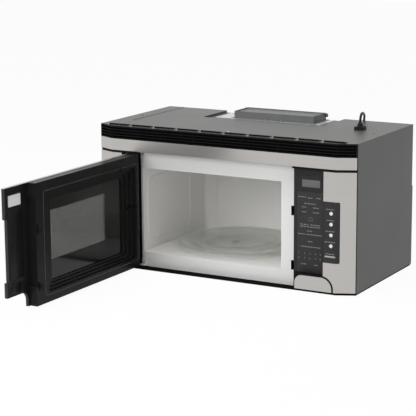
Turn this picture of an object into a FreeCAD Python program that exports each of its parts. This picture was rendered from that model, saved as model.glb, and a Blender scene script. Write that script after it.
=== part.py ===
import FreeCAD, Part
import math
import os

# Over the range microwave oven standing with its door open.
# Millimetres. X runs right, Y runs back, Z runs up. The origin is the middle of the underside.
# Pieces are placed by "depth", the distance behind the plane of the steel front.

Vector = FreeCAD.Vector
UP = Vector(0, 0, 1)
BACK = Vector(0, 1, 0)
RIGHT = Vector(1, 0, 0)

# ---- cabinet ----
CABINET_WIDTH = 759.5
CABINET_HEIGHT = 389.0
CABINET_DEPTH = 388.0
SHEET = 1.2
FACET_WIDTH = 47.5
FACET_SETBACK = 21.3
BLACK_EDGE = 6.0
BASE_STRIP = 3.0
TOP_RIM = 6.0
TRIM_SHEET = 1.0
BACKING_GAP = 0.4
FRONT_Y = -CABINET_DEPTH / 2
HALF = CABINET_WIDTH / 2
BREAK_X = HALF - FACET_WIDTH
SIDE_FRONT = FACET_SETBACK + BLACK_EDGE
SIDE_INNER = HALF - SHEET
TOP_UNDER = CABINET_HEIGHT - SHEET
BACK_INNER = CABINET_DEPTH - SHEET

# ---- levels of the front: grille, steel band and black lip above the door ----
GRILLE_HEIGHT = 34.5
BAND_HEIGHT = 31.0
LIP_HEIGHT = 6.5
SILL_TOP = 5.5
DOOR_BOTTOM = SILL_TOP + 1.5
BAND_HIGH = CABINET_HEIGHT - GRILLE_HEIGHT
BAND_LOW = BAND_HIGH - BAND_HEIGHT
DOOR_TOP = BAND_LOW - LIP_HEIGHT
PLATE_DEPTH = 35.0
PLATE_BACK = PLATE_DEPTH + SHEET
PLATE_LEFT = 117.75 - HALF

# ---- control column on the right ----
COLUMN_LEFT = HALF - 81.75
KEYPAD_WIDTH = 88.5
HOUSING_LEFT = COLUMN_LEFT - KEYPAD_WIDTH
HOUSING_WALL = 2.0
KEYPAD_DEPTH = 12.0
KEYPAD_SHEET = 0.6
BUTTON_PANEL_RIGHT = BREAK_X + 9.45
BUTTON_PANEL_LOW = DOOR_BOTTOM + 76.5
BUTTON_PANEL_HIGH = DOOR_TOP - 77.0
BUTTON_PANEL_ROUND = 3.0
BUTTON_X = COLUMN_LEFT + 22.8
BUTTON_LOWEST = BUTTON_PANEL_LOW + 44.4
BUTTON_COUNT = 4
BUTTON_PITCH = (BUTTON_PANEL_HIGH - BUTTON_LOWEST - 28.4) / (BUTTON_COUNT - 1)
BUTTON_RADIUS = 4.6
BUTTON_PROUD = 1.6
STEM_RADIUS = 2.5
ARCH_LEFT = HOUSING_LEFT + 9.0
ARCH_RIGHT = COLUMN_LEFT + 24.6
ARCH_TOP = DOOR_BOTTOM + 35.5
ARCH_LEFT_ROUND = 20.0
ARCH_RIGHT_ROUND = 30.0
ARCH_OUTLINE = 4.5
DISPLAY_CENTRE_X = COLUMN_LEFT - 40.0
DISPLAY_CENTRE_Z = DOOR_TOP - 34.5
DISPLAY_WIDTH = 50.0
DISPLAY_HEIGHT = 28.0

# ---- door and hinge ----
DOOR_OPEN_ANGLE = 90.5
PIVOT_X = PLATE_LEFT - 8.0
PIVOT_DEPTH = 14.0
DOOR_LEFT = PIVOT_X - 28.5
DOOR_RIGHT = COLUMN_LEFT - 1.0
DOOR_SKIN = 0.8
WING_THICKNESS = 9.0
DOOR_THICKNESS = 31.0
BODY_LEFT = PIVOT_X + 5.0
BODY_RIGHT = HOUSING_LEFT - 6.5
TAB_REACH = 4.7
HEEL_ROUND = 7.0
KNUCKLE_RADIUS = 8.0
PIN_RADIUS = 3.0
RUNNING_FIT = 0.05
HINGE_ARM = 2.5
HINGE_GAP = 0.3
NOTCH_DEPTH = 7.5
ARCH_CLEARANCE = 3.5

# ---- oven cavity and turntable ----
CAVITY_LEFT = PLATE_LEFT + 6.0
CAVITY_RIGHT = HOUSING_LEFT - 47.5
CAVITY_FLOOR = DOOR_BOTTOM + 35.0
CAVITY_CEILING = DOOR_TOP - 43.0
CAVITY_BACK = CABINET_DEPTH - 11.0
CAVITY_WALL = 1.0
CAVITY_CORNER = 14.0
TRAY_SHIFT = 10.0
TRAY_X = (CAVITY_LEFT + CAVITY_RIGHT) / 2 - TRAY_SHIFT
TRAY_DEPTH = (PLATE_BACK + CAVITY_BACK) / 2
TRAY_RADIUS = TRAY_DEPTH - PLATE_BACK - 3.0
TRAY_THICKNESS = 4.5
TRAY_RIM = 8.0
ROLLER_RADIUS = 5.7
ROLLER_WIDTH = 6.0
ROLLER_CIRCLE = TRAY_RADIUS - 72.4
ROLL_CLEARANCE = 0.3

# ---- exhaust on the top ----
WELL_LEFT = -190.0
WELL_RIGHT = 178.0
WELL_FRONT = CABINET_DEPTH - 141.0
WELL_DROP = 6.0
COLLAR_X = 3.0
COLLAR_WIDTH = 244.0
COLLAR_LENGTH = 80.0
COLLAR_HEIGHT = 19.5
COLLAR_BACK = CABINET_DEPTH - 6.0
DAMPER_SHEET = 0.8

# ---- mains cord ----
CORD_DIAMETER = 6.6
COIL_RADIUS = 40.0
COIL_LAYER = 7.6
COIL_START_ANGLE = 0.0
COIL_CLIMB_ANGLE = 140.0
COIL_END_ANGLE = 450.0
COIL_TAIL = 34.0
PIECES = {}


# ---- shapes that the pieces are made from ----

def at(x, depth, z):
    return Vector(x, FRONT_Y + depth, z)


def block(x0, x1, d0, d1, z0, z1):
    return Part.makeBox(x1 - x0, d1 - d0, z1 - z0, at(x0, d0, z0))


def rod(x, depth, z, radius, length, direction=UP):
    return Part.makeCylinder(radius, length, at(x, depth, z), direction)


def rounded_edges(points):
    """Edges of a closed outline; a point may carry a third value, its corner radius."""
    count = len(points)
    starts = []
    for index in range(count):
        here = Vector(*points[index][0:2], 0)
        before = Vector(*points[index - 1][0:2], 0)
        after = Vector(*points[(index + 1) % count][0:2], 0)
        radius = points[index][2] if len(points[index]) == 3 else 0
        if radius <= 0:
            starts.append((here, here, None))
            continue
        inward = (before - here).normalize()
        outward = (after - here).normalize()
        half_angle = inward.getAngle(outward) / 2
        cut = radius / math.tan(half_angle)
        centre = here + (inward + outward).normalize() * (radius / math.sin(half_angle))
        middle = centre + (here - centre).normalize() * radius
        starts.append((here + inward * cut, here + outward * cut, middle))
    edges = []
    for index in range(count):
        arrive, leave, middle = starts[index]
        following = starts[(index + 1) % count][0]
        if middle is not None:
            edges.append(Part.Arc(arrive, middle, leave).toShape())
        if (following - leave).Length > 1e-6:
            edges.append(Part.LineSegment(leave, following).toShape())
    return edges


def prism(points, low, high, view="front"):
    """Outline drawn in one view and thickened between two planes.

    front: points are (x, z), planes are depths. plan: points are (x, depth), planes are heights.
    side: points are (depth, z), planes are x positions.
    """
    face = Part.Face(Part.Wire(rounded_edges(points)))
    if view == "plan":
        face.translate(Vector(0, FRONT_Y, low))
        return face.extrude(Vector(0, 0, high - low))
    face.rotate(Vector(0, 0, 0), RIGHT, 90)
    if view == "front":
        face.translate(Vector(0, FRONT_Y + low, 0))
        return face.extrude(Vector(0, high - low, 0))
    face.rotate(Vector(0, 0, 0), UP, 90)
    face.translate(Vector(low, FRONT_Y, 0))
    return face.extrude(Vector(high - low, 0, 0))


def rectangle(a0, a1, b0, b1, radius=0):
    return [(a0, b0, radius), (a1, b0, radius), (a1, b1, radius), (a0, b1, radius)]


def faceted(front, back, half=HALF):
    """Plan outline across the whole width with both front corners cut off."""
    return [(-half, back), (-half, FACET_SETBACK + front), (-BREAK_X, front),
            (BREAK_X, front), (half, FACET_SETBACK + front), (half, back)]


def join(shapes):
    result = shapes[0]
    for shape in shapes[1:]:
        result = result.fuse(shape)
    return result.removeSplitter()


def swing(shape):
    """Turns a door piece from closed to the open rest position."""
    moved = shape.copy()
    moved.rotate(at(PIVOT_X, PIVOT_DEPTH, 0), UP, -DOOR_OPEN_ANGLE)
    return moved


def mirror_x(shape):
    return shape.mirror(Vector(0, 0, 0), RIGHT)


# ---- outer cover: one folded sheet with top slots, bolt holes and a well for the exhaust ----
SLOT_COUNT = 10
SLOT_PITCH = (CABINET_WIDTH - 49.5) / SLOT_COUNT
SLOT_LENGTH = SLOT_PITCH - 13.0
SLOT_WIDTH = 13.0
SLOT_DEPTH = 23.5
BOLT_SPACING = CABINET_WIDTH - 59.5
BOLT_DEPTH = CABINET_DEPTH - 198.0
BOLT_HOLE = 3.5
WELL_CORNER = 12.0
WELL_FLOOR = CABINET_HEIGHT - WELL_DROP
THROAT_MARGIN = 3.0
CORD_HOLE_X = HALF - 88.75
CORD_HOLE_DEPTH = CABINET_DEPTH - 150.0
CORD_HOLE = 8.0


def well_outline(grow):
    return [(WELL_LEFT - grow, WELL_FRONT - grow, WELL_CORNER + grow),
            (WELL_RIGHT + grow, WELL_FRONT - grow, WELL_CORNER + grow),
            (WELL_RIGHT + grow, CABINET_DEPTH), (WELL_LEFT - grow, CABINET_DEPTH)]


def throat(low, high):
    half = COLLAR_WIDTH / 2 - THROAT_MARGIN
    front = COLLAR_BACK - COLLAR_LENGTH + THROAT_MARGIN
    return block(COLLAR_X - half, COLLAR_X + half, front, COLLAR_BACK - THROAT_MARGIN, low, high)


def outer_cover():
    top = prism(faceted(TOP_RIM, CABINET_DEPTH), TOP_UNDER, CABINET_HEIGHT, "plan")
    left = block(-HALF, -SIDE_INNER, SIDE_FRONT, CABINET_DEPTH, BASE_STRIP, CABINET_HEIGHT)
    right = mirror_x(left)
    top = top.cut(prism(well_outline(0), TOP_UNDER - 1, CABINET_HEIGHT + 1, "plan"))
    tray = prism(well_outline(SHEET), WELL_FLOOR - SHEET, CABINET_HEIGHT, "plan")
    tray = tray.cut(prism(well_outline(0), WELL_FLOOR, CABINET_HEIGHT + 1, "plan"))
    tray = tray.cut(throat(WELL_FLOOR - SHEET - 1, WELL_FLOOR + 1))
    cover = join([top, left, right, tray])
    for index in range(SLOT_COUNT):
        middle = (index - (SLOT_COUNT - 1) / 2) * SLOT_PITCH
        slot = rectangle(middle - SLOT_LENGTH / 2, middle + SLOT_LENGTH / 2,
                         SLOT_DEPTH - SLOT_WIDTH / 2, SLOT_DEPTH + SLOT_WIDTH / 2, 3.0)
        cover = cover.cut(prism(slot, TOP_UNDER - 1, CABINET_HEIGHT + 1, "plan"))
    for x in (-BOLT_SPACING / 2, BOLT_SPACING / 2):
        cover = cover.cut(rod(x, BOLT_DEPTH, TOP_UNDER - 1, BOLT_HOLE, SHEET + 2))
    return cover.cut(rod(CORD_HOLE_X, CORD_HOLE_DEPTH, TOP_UNDER - 1, CORD_HOLE, SHEET + 2))


PIECES["outer_cover"] = outer_cover()

# ---- base plate: shallow pan with openings for two grease filters and the cooktop lamp ----
BASE_UPSTAND = 15.0
FILTER_X = HALF - 174.75
FILTER_WIDTH = 240.0
FILTER_LENGTH = CABINET_DEPTH - 218.0
FILTER_FRONT = 120.0
FILTER_LEDGE = 6.0
FILTER_HEIGHT = 8.0
LAMP_WIDTH = 120.0
LAMP_LENGTH = 60.0
LAMP_FRONT = 45.0
LAMP_LEDGE = 5.0
LENS_THICKNESS = 3.0
BASE_SETBACK = 2.0
BULB_RADIUS = 10.0
BULB_LENGTH = 48.0
OVEN_LAMP_DEPTH = PLATE_BACK + 45.0
OVEN_LAMP_DROP = 28.0


def filter_box(side, inset, low, high):
    middle = side * FILTER_X
    return block(middle - FILTER_WIDTH / 2 + inset, middle + FILTER_WIDTH / 2 - inset,
                 FILTER_FRONT + inset, FILTER_FRONT + FILTER_LENGTH - inset, low, high)


def lamp_box(inset, low, high):
    return block(-LAMP_WIDTH / 2 + inset, LAMP_WIDTH / 2 - inset,
                 LAMP_FRONT + inset, LAMP_FRONT + LAMP_LENGTH - inset, low, high)


def base_plate():
    pan = prism(faceted(BASE_SETBACK, BACK_INNER), 0, BASE_STRIP, "plan")
    inner = faceted(BASE_SETBACK + SHEET, BACK_INNER - SHEET, HALF - SHEET)
    pan = pan.cut(prism(inner, SHEET, BASE_STRIP + 1, "plan"))
    rise = BASE_STRIP + BASE_UPSTAND
    left = block(-SIDE_INNER, -SIDE_INNER + SHEET, PLATE_BACK + BACKING_GAP, BACK_INNER, SHEET, rise)
    rear = block(-SIDE_INNER, SIDE_INNER, BACK_INNER - SHEET, BACK_INNER, SHEET, rise)
    pan = join([pan, left, mirror_x(left), rear])
    for side in (-1, 1):
        pan = pan.cut(filter_box(side, FILTER_LEDGE, -1, SHEET + 1))
    return pan.cut(lamp_box(LAMP_LEDGE, -1, SHEET + 1))


def grease_filters():
    filters = []
    for side in (-1, 1):
        frame = filter_box(side, 0, SHEET, SHEET + FILTER_HEIGHT)
        frame = frame.cut(filter_box(side, 5.0, SHEET + FILTER_HEIGHT - 2.0, SHEET + FILTER_HEIGHT + 1))
        frame = frame.cut(filter_box(side, FILTER_LEDGE, SHEET - 1, SHEET + 2.0))
        filters.append(frame)
    return Part.makeCompound(filters)


def lamp_lens():
    return lamp_box(0, SHEET, SHEET + LENS_THICKNESS)


def lamps():
    """Two bulbs in holders: one over the cooktop lens, one beside the oven cavity."""
    middle = LAMP_FRONT + LAMP_LENGTH / 2
    left = -LAMP_WIDTH / 2
    holder = block(left - 2 * BULB_RADIUS, left, middle - BULB_RADIUS - 2, middle + BULB_RADIUS + 2,
                   SHEET, SHEET + 3 * BULB_RADIUS)
    bulb = rod(left, middle, SHEET + 1.7 * BULB_RADIUS, BULB_RADIUS, BULB_LENGTH, RIGHT)
    cooktop = join([holder, bulb])
    x = CAVITY_RIGHT + CAVITY_WALL + 2 * BULB_RADIUS
    height = CAVITY_CEILING - OVEN_LAMP_DROP
    bracket = block(CAVITY_RIGHT + CAVITY_WALL, x + 2 * BULB_RADIUS, OVEN_LAMP_DEPTH - SHEET, OVEN_LAMP_DEPTH,
                    height - 2 * BULB_RADIUS, height + 2 * BULB_RADIUS)
    socket = rod(x, OVEN_LAMP_DEPTH - SHEET, height, BULB_RADIUS + 2, 2 * BULB_RADIUS, BACK)
    oven = join([bracket, socket, rod(x, OVEN_LAMP_DEPTH, height, BULB_RADIUS, BULB_LENGTH, BACK)])
    return Part.makeCompound([cooktop, oven])


PIECES["base_plate"] = base_plate()
PIECES["grease_filters"] = grease_filters()
PIECES["lamp_lens"] = lamp_lens()
PIECES["lamps"] = lamps()

# ---- rear panel and the steel plate that hangs the oven on a wall ----
WALL_PLATE_HALF = HALF - 0.15
WALL_PLATE_HEIGHT = 218.0
WALL_PLATE_DEPTH = 5.0
STUD_SPACING = 406.4
STUD_ROWS = 100.0
STUD_HOLE = 3.5
STUD_MIDDLE = 120.0
VENT_ROWS = 5
VENT_COLUMNS = 8
VENT_PITCH = 9.0
VENT_HOLE = 2.2
REAR_VENT_X = HALF - 89.75
REAR_VENT_Z = CABINET_HEIGHT - 99.0


def rear_panel():
    panel = block(-SIDE_INNER, SIDE_INNER, BACK_INNER, CABINET_DEPTH, BASE_STRIP, TOP_UNDER)
    panel = panel.cut(block(WELL_LEFT - SHEET, WELL_RIGHT + SHEET, BACK_INNER - 1, CABINET_DEPTH + 1,
                            WELL_FLOOR - SHEET, CABINET_HEIGHT))
    holes = []
    for row in range(VENT_ROWS):
        for column in range(VENT_COLUMNS):
            holes.append(rod(REAR_VENT_X + column * VENT_PITCH, BACK_INNER - 1,
                             REAR_VENT_Z + row * VENT_PITCH, VENT_HOLE, SHEET + 2, BACK))
    return panel.cut(Part.makeCompound(holes))


def wall_plate():
    low = BASE_STRIP
    high = low + WALL_PLATE_HEIGHT
    rear = CABINET_DEPTH + WALL_PLATE_DEPTH
    plate = block(-WALL_PLATE_HALF, WALL_PLATE_HALF, CABINET_DEPTH, rear, low, high)
    plate = plate.cut(block(-WALL_PLATE_HALF + SHEET, WALL_PLATE_HALF - SHEET, CABINET_DEPTH - 1,
                            rear - SHEET, low + SHEET, high - SHEET))
    for x in (-STUD_SPACING / 2, STUD_SPACING / 2):
        for z in (STUD_MIDDLE - STUD_ROWS / 2, STUD_MIDDLE + STUD_ROWS / 2):
            plate = plate.cut(rod(x, rear - SHEET - 1, z, STUD_HOLE, SHEET + 2, BACK))
    return plate


PIECES["rear_panel"] = rear_panel()
PIECES["wall_plate"] = wall_plate()

# ---- vent grille: one black moulding with louvres above and the backing of the steel band below ----
LOUVRE_COUNT = 3
LOUVRE_THICKNESS = 2.0
LOUVRE_REACH = 14.0
RIB_COUNT = 9
RIB_THICKNESS = 2.0
LIP_SETBACK = 1.6


def ribbon(front, thickness, low, high, trim=0.0):
    """A wall of even thickness that follows the faceted front."""
    outline = faceted(front, SIDE_FRONT, HALF - trim)
    inner = faceted(front + thickness, SIDE_FRONT + 1, HALF - trim - thickness)
    outer = prism(outline, low, high, "plan")
    return outer.cut(prism(inner, low - 1, high + 1, "plan"))


def vent_grille():
    backing = ribbon(TRIM_SHEET, 2.0, BAND_LOW, BAND_HIGH, TRIM_SHEET)
    lip = ribbon(LIP_SETBACK, 2.0, DOOR_TOP + 1.0, BAND_LOW, TRIM_SHEET)
    shelf_low = DOOR_TOP + 4.5
    shelf = prism(faceted(LIP_SETBACK, PLATE_DEPTH, SIDE_INNER - BACKING_GAP), shelf_low, shelf_low + 2.0, "plan")
    shelf = shelf.cut(block(-HALF, -SIDE_INNER + BACKING_GAP, SIDE_FRONT, PLATE_DEPTH, 0, CABINET_HEIGHT))
    mouth = block(PLATE_LEFT + 12, HOUSING_LEFT, -1, PLATE_DEPTH + 1, DOOR_TOP, BAND_LOW)
    lip = lip.cut(mouth)
    shelf = shelf.cut(mouth)
    rim = prism(faceted(0, SIDE_FRONT), TOP_UNDER - 1.0, CABINET_HEIGHT, "plan")
    rim = rim.cut(prism(faceted(TOP_RIM, SIDE_FRONT + 1), TOP_UNDER - 2.0, CABINET_HEIGHT + 1, "plan"))
    seat = ribbon(0, LOUVRE_REACH, TOP_UNDER - 2.0, TOP_UNDER)
    parts = [backing, lip, shelf, rim, seat]
    floor = prism(faceted(0, SIDE_FRONT), BAND_HIGH, BAND_HIGH + 2.0, "plan")
    parts.append(floor.cut(prism(faceted(LOUVRE_REACH, SIDE_FRONT + 1, HALF - 12), BAND_HIGH - 1,
                                 BAND_HIGH + 3, "plan")))
    first = BAND_HIGH + 2.0
    space = (TOP_UNDER - 2.0 - first - LOUVRE_COUNT * LOUVRE_THICKNESS) / (LOUVRE_COUNT + 1)
    for index in range(LOUVRE_COUNT):
        low = first + space + index * (space + LOUVRE_THICKNESS)
        parts.append(ribbon(0.8, LOUVRE_REACH - 0.8, low, low + LOUVRE_THICKNESS))
    for index in range(RIB_COUNT):
        x = (index - (RIB_COUNT - 1) / 2) * (2 * BREAK_X / (RIB_COUNT - 1))
        parts.append(block(x - RIB_THICKNESS / 2, x + RIB_THICKNESS / 2, LOUVRE_REACH - 6, LOUVRE_REACH,
                           BAND_HIGH, TOP_UNDER))
    end = block(-HALF, -HALF + 3.0, FACET_SETBACK, SIDE_FRONT, BAND_HIGH, TOP_UNDER - 1.0)
    parts += [end, mirror_x(end)]
    return join(parts)


def steel_band():
    """Folded steel face below the louvres."""
    band = ribbon(0, TRIM_SHEET, BAND_LOW, BAND_HIGH)
    return band.cut(block(-HALF - 1, HALF + 1, FACET_SETBACK, SIDE_FRONT + 2, BAND_LOW - 1, BAND_HIGH + 1))


PIECES["vent_grille"] = vent_grille()
PIECES["steel_band"] = steel_band()

# ---- left pillar: steel trim over a black post; the post's channel takes the heel of the door ----
PILLAR_RIGHT = DOOR_LEFT - 2.5
POST_WALL = 2.0
CHANNEL_DEPTH = 48.0


def pillar_steel(inner_x):
    """Steel trim of one front corner, drawn on the right side."""
    outline = [(inner_x, 0), (BREAK_X, 0), (HALF, FACET_SETBACK),
               (HALF - TRIM_SHEET, FACET_SETBACK + 0.5), (BREAK_X - 0.3, TRIM_SHEET), (inner_x, TRIM_SHEET)]
    return prism(outline, SILL_TOP + 0.5, DOOR_TOP, "plan")


def post_outline(inner_x, back):
    edge = HALF - 0.2
    return [(inner_x, TRIM_SHEET), (BREAK_X - 0.4, TRIM_SHEET), (HALF - TRIM_SHEET, FACET_SETBACK + 0.9),
            (edge, FACET_SETBACK + 0.9), (edge, SIDE_FRONT - 0.2),
            (SIDE_INNER - BACKING_GAP, SIDE_FRONT - 0.2), (SIDE_INNER - BACKING_GAP, back), (inner_x, back)]


def post_hollow(inner_x, back):
    wall = HOUSING_WALL
    return [(inner_x, TRIM_SHEET + wall), (BREAK_X - 1.0, TRIM_SHEET + wall),
            (HALF - TRIM_SHEET - wall, FACET_SETBACK + 1.6), (SIDE_INNER - BACKING_GAP - wall, SIDE_FRONT),
            (SIDE_INNER - BACKING_GAP - wall, back), (inner_x, back)]


def left_pillar():
    return mirror_x(pillar_steel(-PILLAR_RIGHT))


def left_post():
    """Black moulding behind the left pillar with the channel beside the cavity."""
    inner = -PILLAR_RIGHT
    front = mirror_x(prism(post_outline(inner, PLATE_DEPTH), SILL_TOP, DOOR_TOP, "plan"))
    front = front.cut(mirror_x(prism(post_hollow(inner + POST_WALL, PLATE_DEPTH + 1),
                                     SILL_TOP + POST_WALL, DOOR_TOP - POST_WALL, "plan")))
    wall = block(PILLAR_RIGHT - POST_WALL, PILLAR_RIGHT, TRIM_SHEET, CHANNEL_DEPTH, SILL_TOP, DOOR_TOP)
    floor = block(PILLAR_RIGHT - POST_WALL, PLATE_LEFT, CHANNEL_DEPTH - POST_WALL, CHANNEL_DEPTH,
                  SILL_TOP, DOOR_TOP)
    side = block(PLATE_LEFT - POST_WALL, PLATE_LEFT, PLATE_DEPTH, CHANNEL_DEPTH, SILL_TOP, DOOR_TOP)
    return join([front, wall, floor, side])


PIECES["left_pillar"] = left_pillar()
PIECES["left_post"] = left_post()


def bottom_sill():
    """Black ledge under the pillars, a thin strip where the hinge arm and the white plate come down."""
    sill = prism(faceted(0.6, PLATE_DEPTH, SIDE_INNER - BACKING_GAP), BASE_STRIP, SILL_TOP, "plan")
    edges = block(-HALF, -SIDE_INNER, SIDE_FRONT, PLATE_DEPTH + 1, 0, DOOR_BOTTOM)
    sill = sill.cut(edges).cut(mirror_x(edges))
    return sill.cut(block(PILLAR_RIGHT + 20, HOUSING_LEFT, 4, PLATE_DEPTH + 1, 0, DOOR_BOTTOM))


PIECES["bottom_sill"] = bottom_sill()

# ---- oven cavity: enamelled box welded to the white front plate ----
OPENING_CORNER = 3.0
LATCH_X = BODY_RIGHT - 6.0
LATCH_SLOT_WIDTH = 12.0
LATCH_SLOT_HEIGHT = 25.0
HOOK_HEIGHTS = (DOOR_TOP - 120.0, DOOR_BOTTOM + 46.0)
LATCH_SLOTS = [(z - 9.0, z - 9.0 + LATCH_SLOT_HEIGHT) for z in HOOK_HEIGHTS]
GUIDE_WIDTH = 40.0
GUIDE_FRONT = TRAY_DEPTH - 66.6
GUIDE_BACK = GUIDE_FRONT + 100.0
GUIDE_HIGH = CAVITY_CEILING - 29.0
GUIDE_LOW = GUIDE_HIGH - 60.0
DRIVE_HOLE = 8.0
EMBOSS_DEPTH = 2.5
EMBOSS_MARGIN = 39.5
EMBOSS_LIFT = 13.0
EMBOSS_ROUND = 20.0


def front_plate():
    plate = block(PLATE_LEFT, SIDE_INNER - 1.0, PLATE_DEPTH, PLATE_BACK, SHEET + 0.4, BAND_HIGH)
    opening = rectangle(CAVITY_LEFT, CAVITY_RIGHT, CAVITY_FLOOR, CAVITY_CEILING, OPENING_CORNER)
    plate = plate.cut(prism(opening, PLATE_DEPTH - 1, PLATE_BACK + 1))
    for low, high in LATCH_SLOTS:
        slot = block(LATCH_X - LATCH_SLOT_WIDTH / 2, LATCH_X + LATCH_SLOT_WIDTH / 2,
                     PLATE_DEPTH - 1, PLATE_BACK + 1, low, high)
        plate = plate.cut(slot)
    return plate


def cavity_plan(grow, front):
    corner = CAVITY_CORNER + grow
    return [(CAVITY_LEFT - grow, front), (CAVITY_RIGHT + grow, front),
            (CAVITY_RIGHT + grow, CAVITY_BACK + grow, corner),
            (CAVITY_LEFT - grow, CAVITY_BACK + grow, corner)]


def perforation(x, count_y, count_z, depth, z, pitch=8.0, radius=1.5):
    holes = []
    for row in range(count_z):
        for column in range(count_y):
            holes.append(rod(x, depth + column * pitch, z + row * pitch, radius, 6.0, RIGHT))
    return Part.makeCompound(holes)


def cavity_shell():
    wall = CAVITY_WALL
    shell = prism(cavity_plan(wall, PLATE_BACK), CAVITY_FLOOR - wall, CAVITY_CEILING + wall, "plan")
    panel = rectangle(CAVITY_LEFT + EMBOSS_MARGIN, CAVITY_RIGHT - EMBOSS_MARGIN,
                      CAVITY_FLOOR + EMBOSS_LIFT, CAVITY_CEILING - EMBOSS_LIFT, EMBOSS_ROUND)
    back = CAVITY_BACK
    shell = shell.fuse(prism(panel, back, back + EMBOSS_DEPTH + wall))
    shell = shell.cut(prism(cavity_plan(0, PLATE_BACK - 1), CAVITY_FLOOR, CAVITY_CEILING, "plan"))
    inset = EMBOSS_LIFT + wall
    recess = rectangle(CAVITY_LEFT + EMBOSS_MARGIN + wall, CAVITY_RIGHT - EMBOSS_MARGIN - wall,
                       CAVITY_FLOOR + inset, CAVITY_CEILING - inset, EMBOSS_ROUND - wall)
    shell = shell.cut(prism(recess, back - 1, back + EMBOSS_DEPTH))
    shell = shell.cut(rod(TRAY_X, TRAY_DEPTH, CAVITY_FLOOR - 3, DRIVE_HOLE, 6))
    window = block(CAVITY_RIGHT - 1, CAVITY_RIGHT + 2, GUIDE_FRONT + 6, GUIDE_BACK - 6,
                   GUIDE_LOW + 6, GUIDE_HIGH - 6)
    shell = shell.cut(window)
    return shell.cut(perforation(CAVITY_RIGHT - 2, 5, 4, OVEN_LAMP_DEPTH + 12, CAVITY_CEILING - 42))


def waveguide():
    """Rectangular duct on the right wall that carries the microwaves from the magnetron."""
    left = CAVITY_RIGHT + CAVITY_WALL
    duct = block(left, left + GUIDE_WIDTH, GUIDE_FRONT, GUIDE_BACK, GUIDE_LOW, GUIDE_HIGH)
    duct = duct.cut(block(left - 1, left + GUIDE_WIDTH - SHEET, GUIDE_FRONT + SHEET, GUIDE_BACK - SHEET,
                          GUIDE_LOW + SHEET, GUIDE_HIGH - SHEET))
    hole = rod(left + GUIDE_WIDTH - SHEET - 1, (GUIDE_FRONT + GUIDE_BACK) / 2,
               (GUIDE_LOW + GUIDE_HIGH) / 2, 12, SHEET + 2, RIGHT)
    return duct.cut(hole)


def waveguide_cover():
    return block(CAVITY_RIGHT - 0.6, CAVITY_RIGHT, GUIDE_FRONT, GUIDE_BACK, GUIDE_LOW, GUIDE_HIGH)


PIECES["front_plate"] = front_plate()
PIECES["cavity_shell"] = cavity_shell()
PIECES["waveguide"] = waveguide()
PIECES["waveguide_cover"] = waveguide_cover()

# ---- power parts in the bay to the right of the cavity ----
BAY_LEFT = CAVITY_RIGHT + CAVITY_WALL + GUIDE_WIDTH
GUIDE_MIDDLE_DEPTH = (GUIDE_FRONT + GUIDE_BACK) / 2
GUIDE_MIDDLE_Z = (GUIDE_LOW + GUIDE_HIGH) / 2
FAN_X = HALF - 89.75
FAN_Z = GUIDE_MIDDLE_Z
FAN_DEPTH = CABINET_DEPTH - 68.0
FAN_RADIUS = 52.0
FAN_GAP = 3.0
FAN_SHAFT = 2.5
FIN_COUNT = 8
CORE_LEFT = HALF - 124.75
CORE_WIDTH = 90.0
CORE_FRONT = 46.0
CORE_STACK = 66.0
CORE_HEIGHT = 78.0
CORE_LIMB = 16.0
CAN_WIDTH = 40.0
CAN_DEPTH = 32.0
SHROUD_HALF = 80.0
MOTOR_SETBACK = 22.0
MOTOR_STACK = 28.0


def magnetron():
    """Tube with its antenna in the duct, cooling fins in a steel yoke and the filter box on the right."""
    depth = GUIDE_MIDDLE_DEPTH
    flange = block(BAY_LEFT, BAY_LEFT + 3, depth - 45, depth + 45, GUIDE_LOW, GUIDE_HIGH)
    antenna = rod(BAY_LEFT - 22, depth, GUIDE_MIDDLE_Z, 8, 26, RIGHT)
    yoke = block(BAY_LEFT + 3, BAY_LEFT + 63, depth - 42, depth + 42, GUIDE_MIDDLE_Z - 34, GUIDE_MIDDLE_Z + 34)
    yoke = yoke.cut(block(BAY_LEFT + 5, BAY_LEFT + 61, depth - 43, depth + 43,
                          GUIDE_MIDDLE_Z - 32, GUIDE_MIDDLE_Z + 32))
    parts = [flange, antenna, yoke, rod(BAY_LEFT + 3, depth, GUIDE_MIDDLE_Z, 19, 60, RIGHT)]
    for index in range(FIN_COUNT):
        x = BAY_LEFT + 11 + index * 6
        parts.append(block(x, x + 0.8, depth - 38, depth + 38, GUIDE_MIDDLE_Z - 32, GUIDE_MIDDLE_Z + 32))
    parts.append(block(BAY_LEFT + 63, BAY_LEFT + 90, depth - 30, depth + 30,
                       GUIDE_MIDDLE_Z - 30, GUIDE_MIDDLE_Z + 30))
    return join(parts)


def transformer():
    """High voltage transformer: laminated core around two windings, bolted to the base."""
    left = CORE_LEFT
    right = left + CORE_WIDTH
    front = CORE_FRONT
    back = front + CORE_STACK
    core = block(left, right, front, back, SHEET, SHEET + CORE_HEIGHT)
    winding = block(left + CORE_LIMB, right - CORE_LIMB, front - 4, back + 4,
                    SHEET + CORE_LIMB, SHEET + CORE_HEIGHT - CORE_LIMB)
    return join([core, winding])


def capacitor():
    """Flat oval can with two tab terminals, standing beside the transformer."""
    right = CORE_LEFT - 3
    left = right - CAN_WIDTH
    back = CORE_FRONT + CAN_DEPTH
    can = prism(rectangle(left, right, CORE_FRONT, back, CAN_DEPTH / 2 - 1), SHEET, SHEET + CORE_HEIGHT, "plan")
    middle = (CORE_FRONT + back) / 2
    posts = [block(x - 3, x + 3, middle - 0.5, middle + 0.5, SHEET + CORE_HEIGHT, SHEET + CORE_HEIGHT + 12)
             for x in (left + 13, right - 13)]
    return join([can] + posts)


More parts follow.
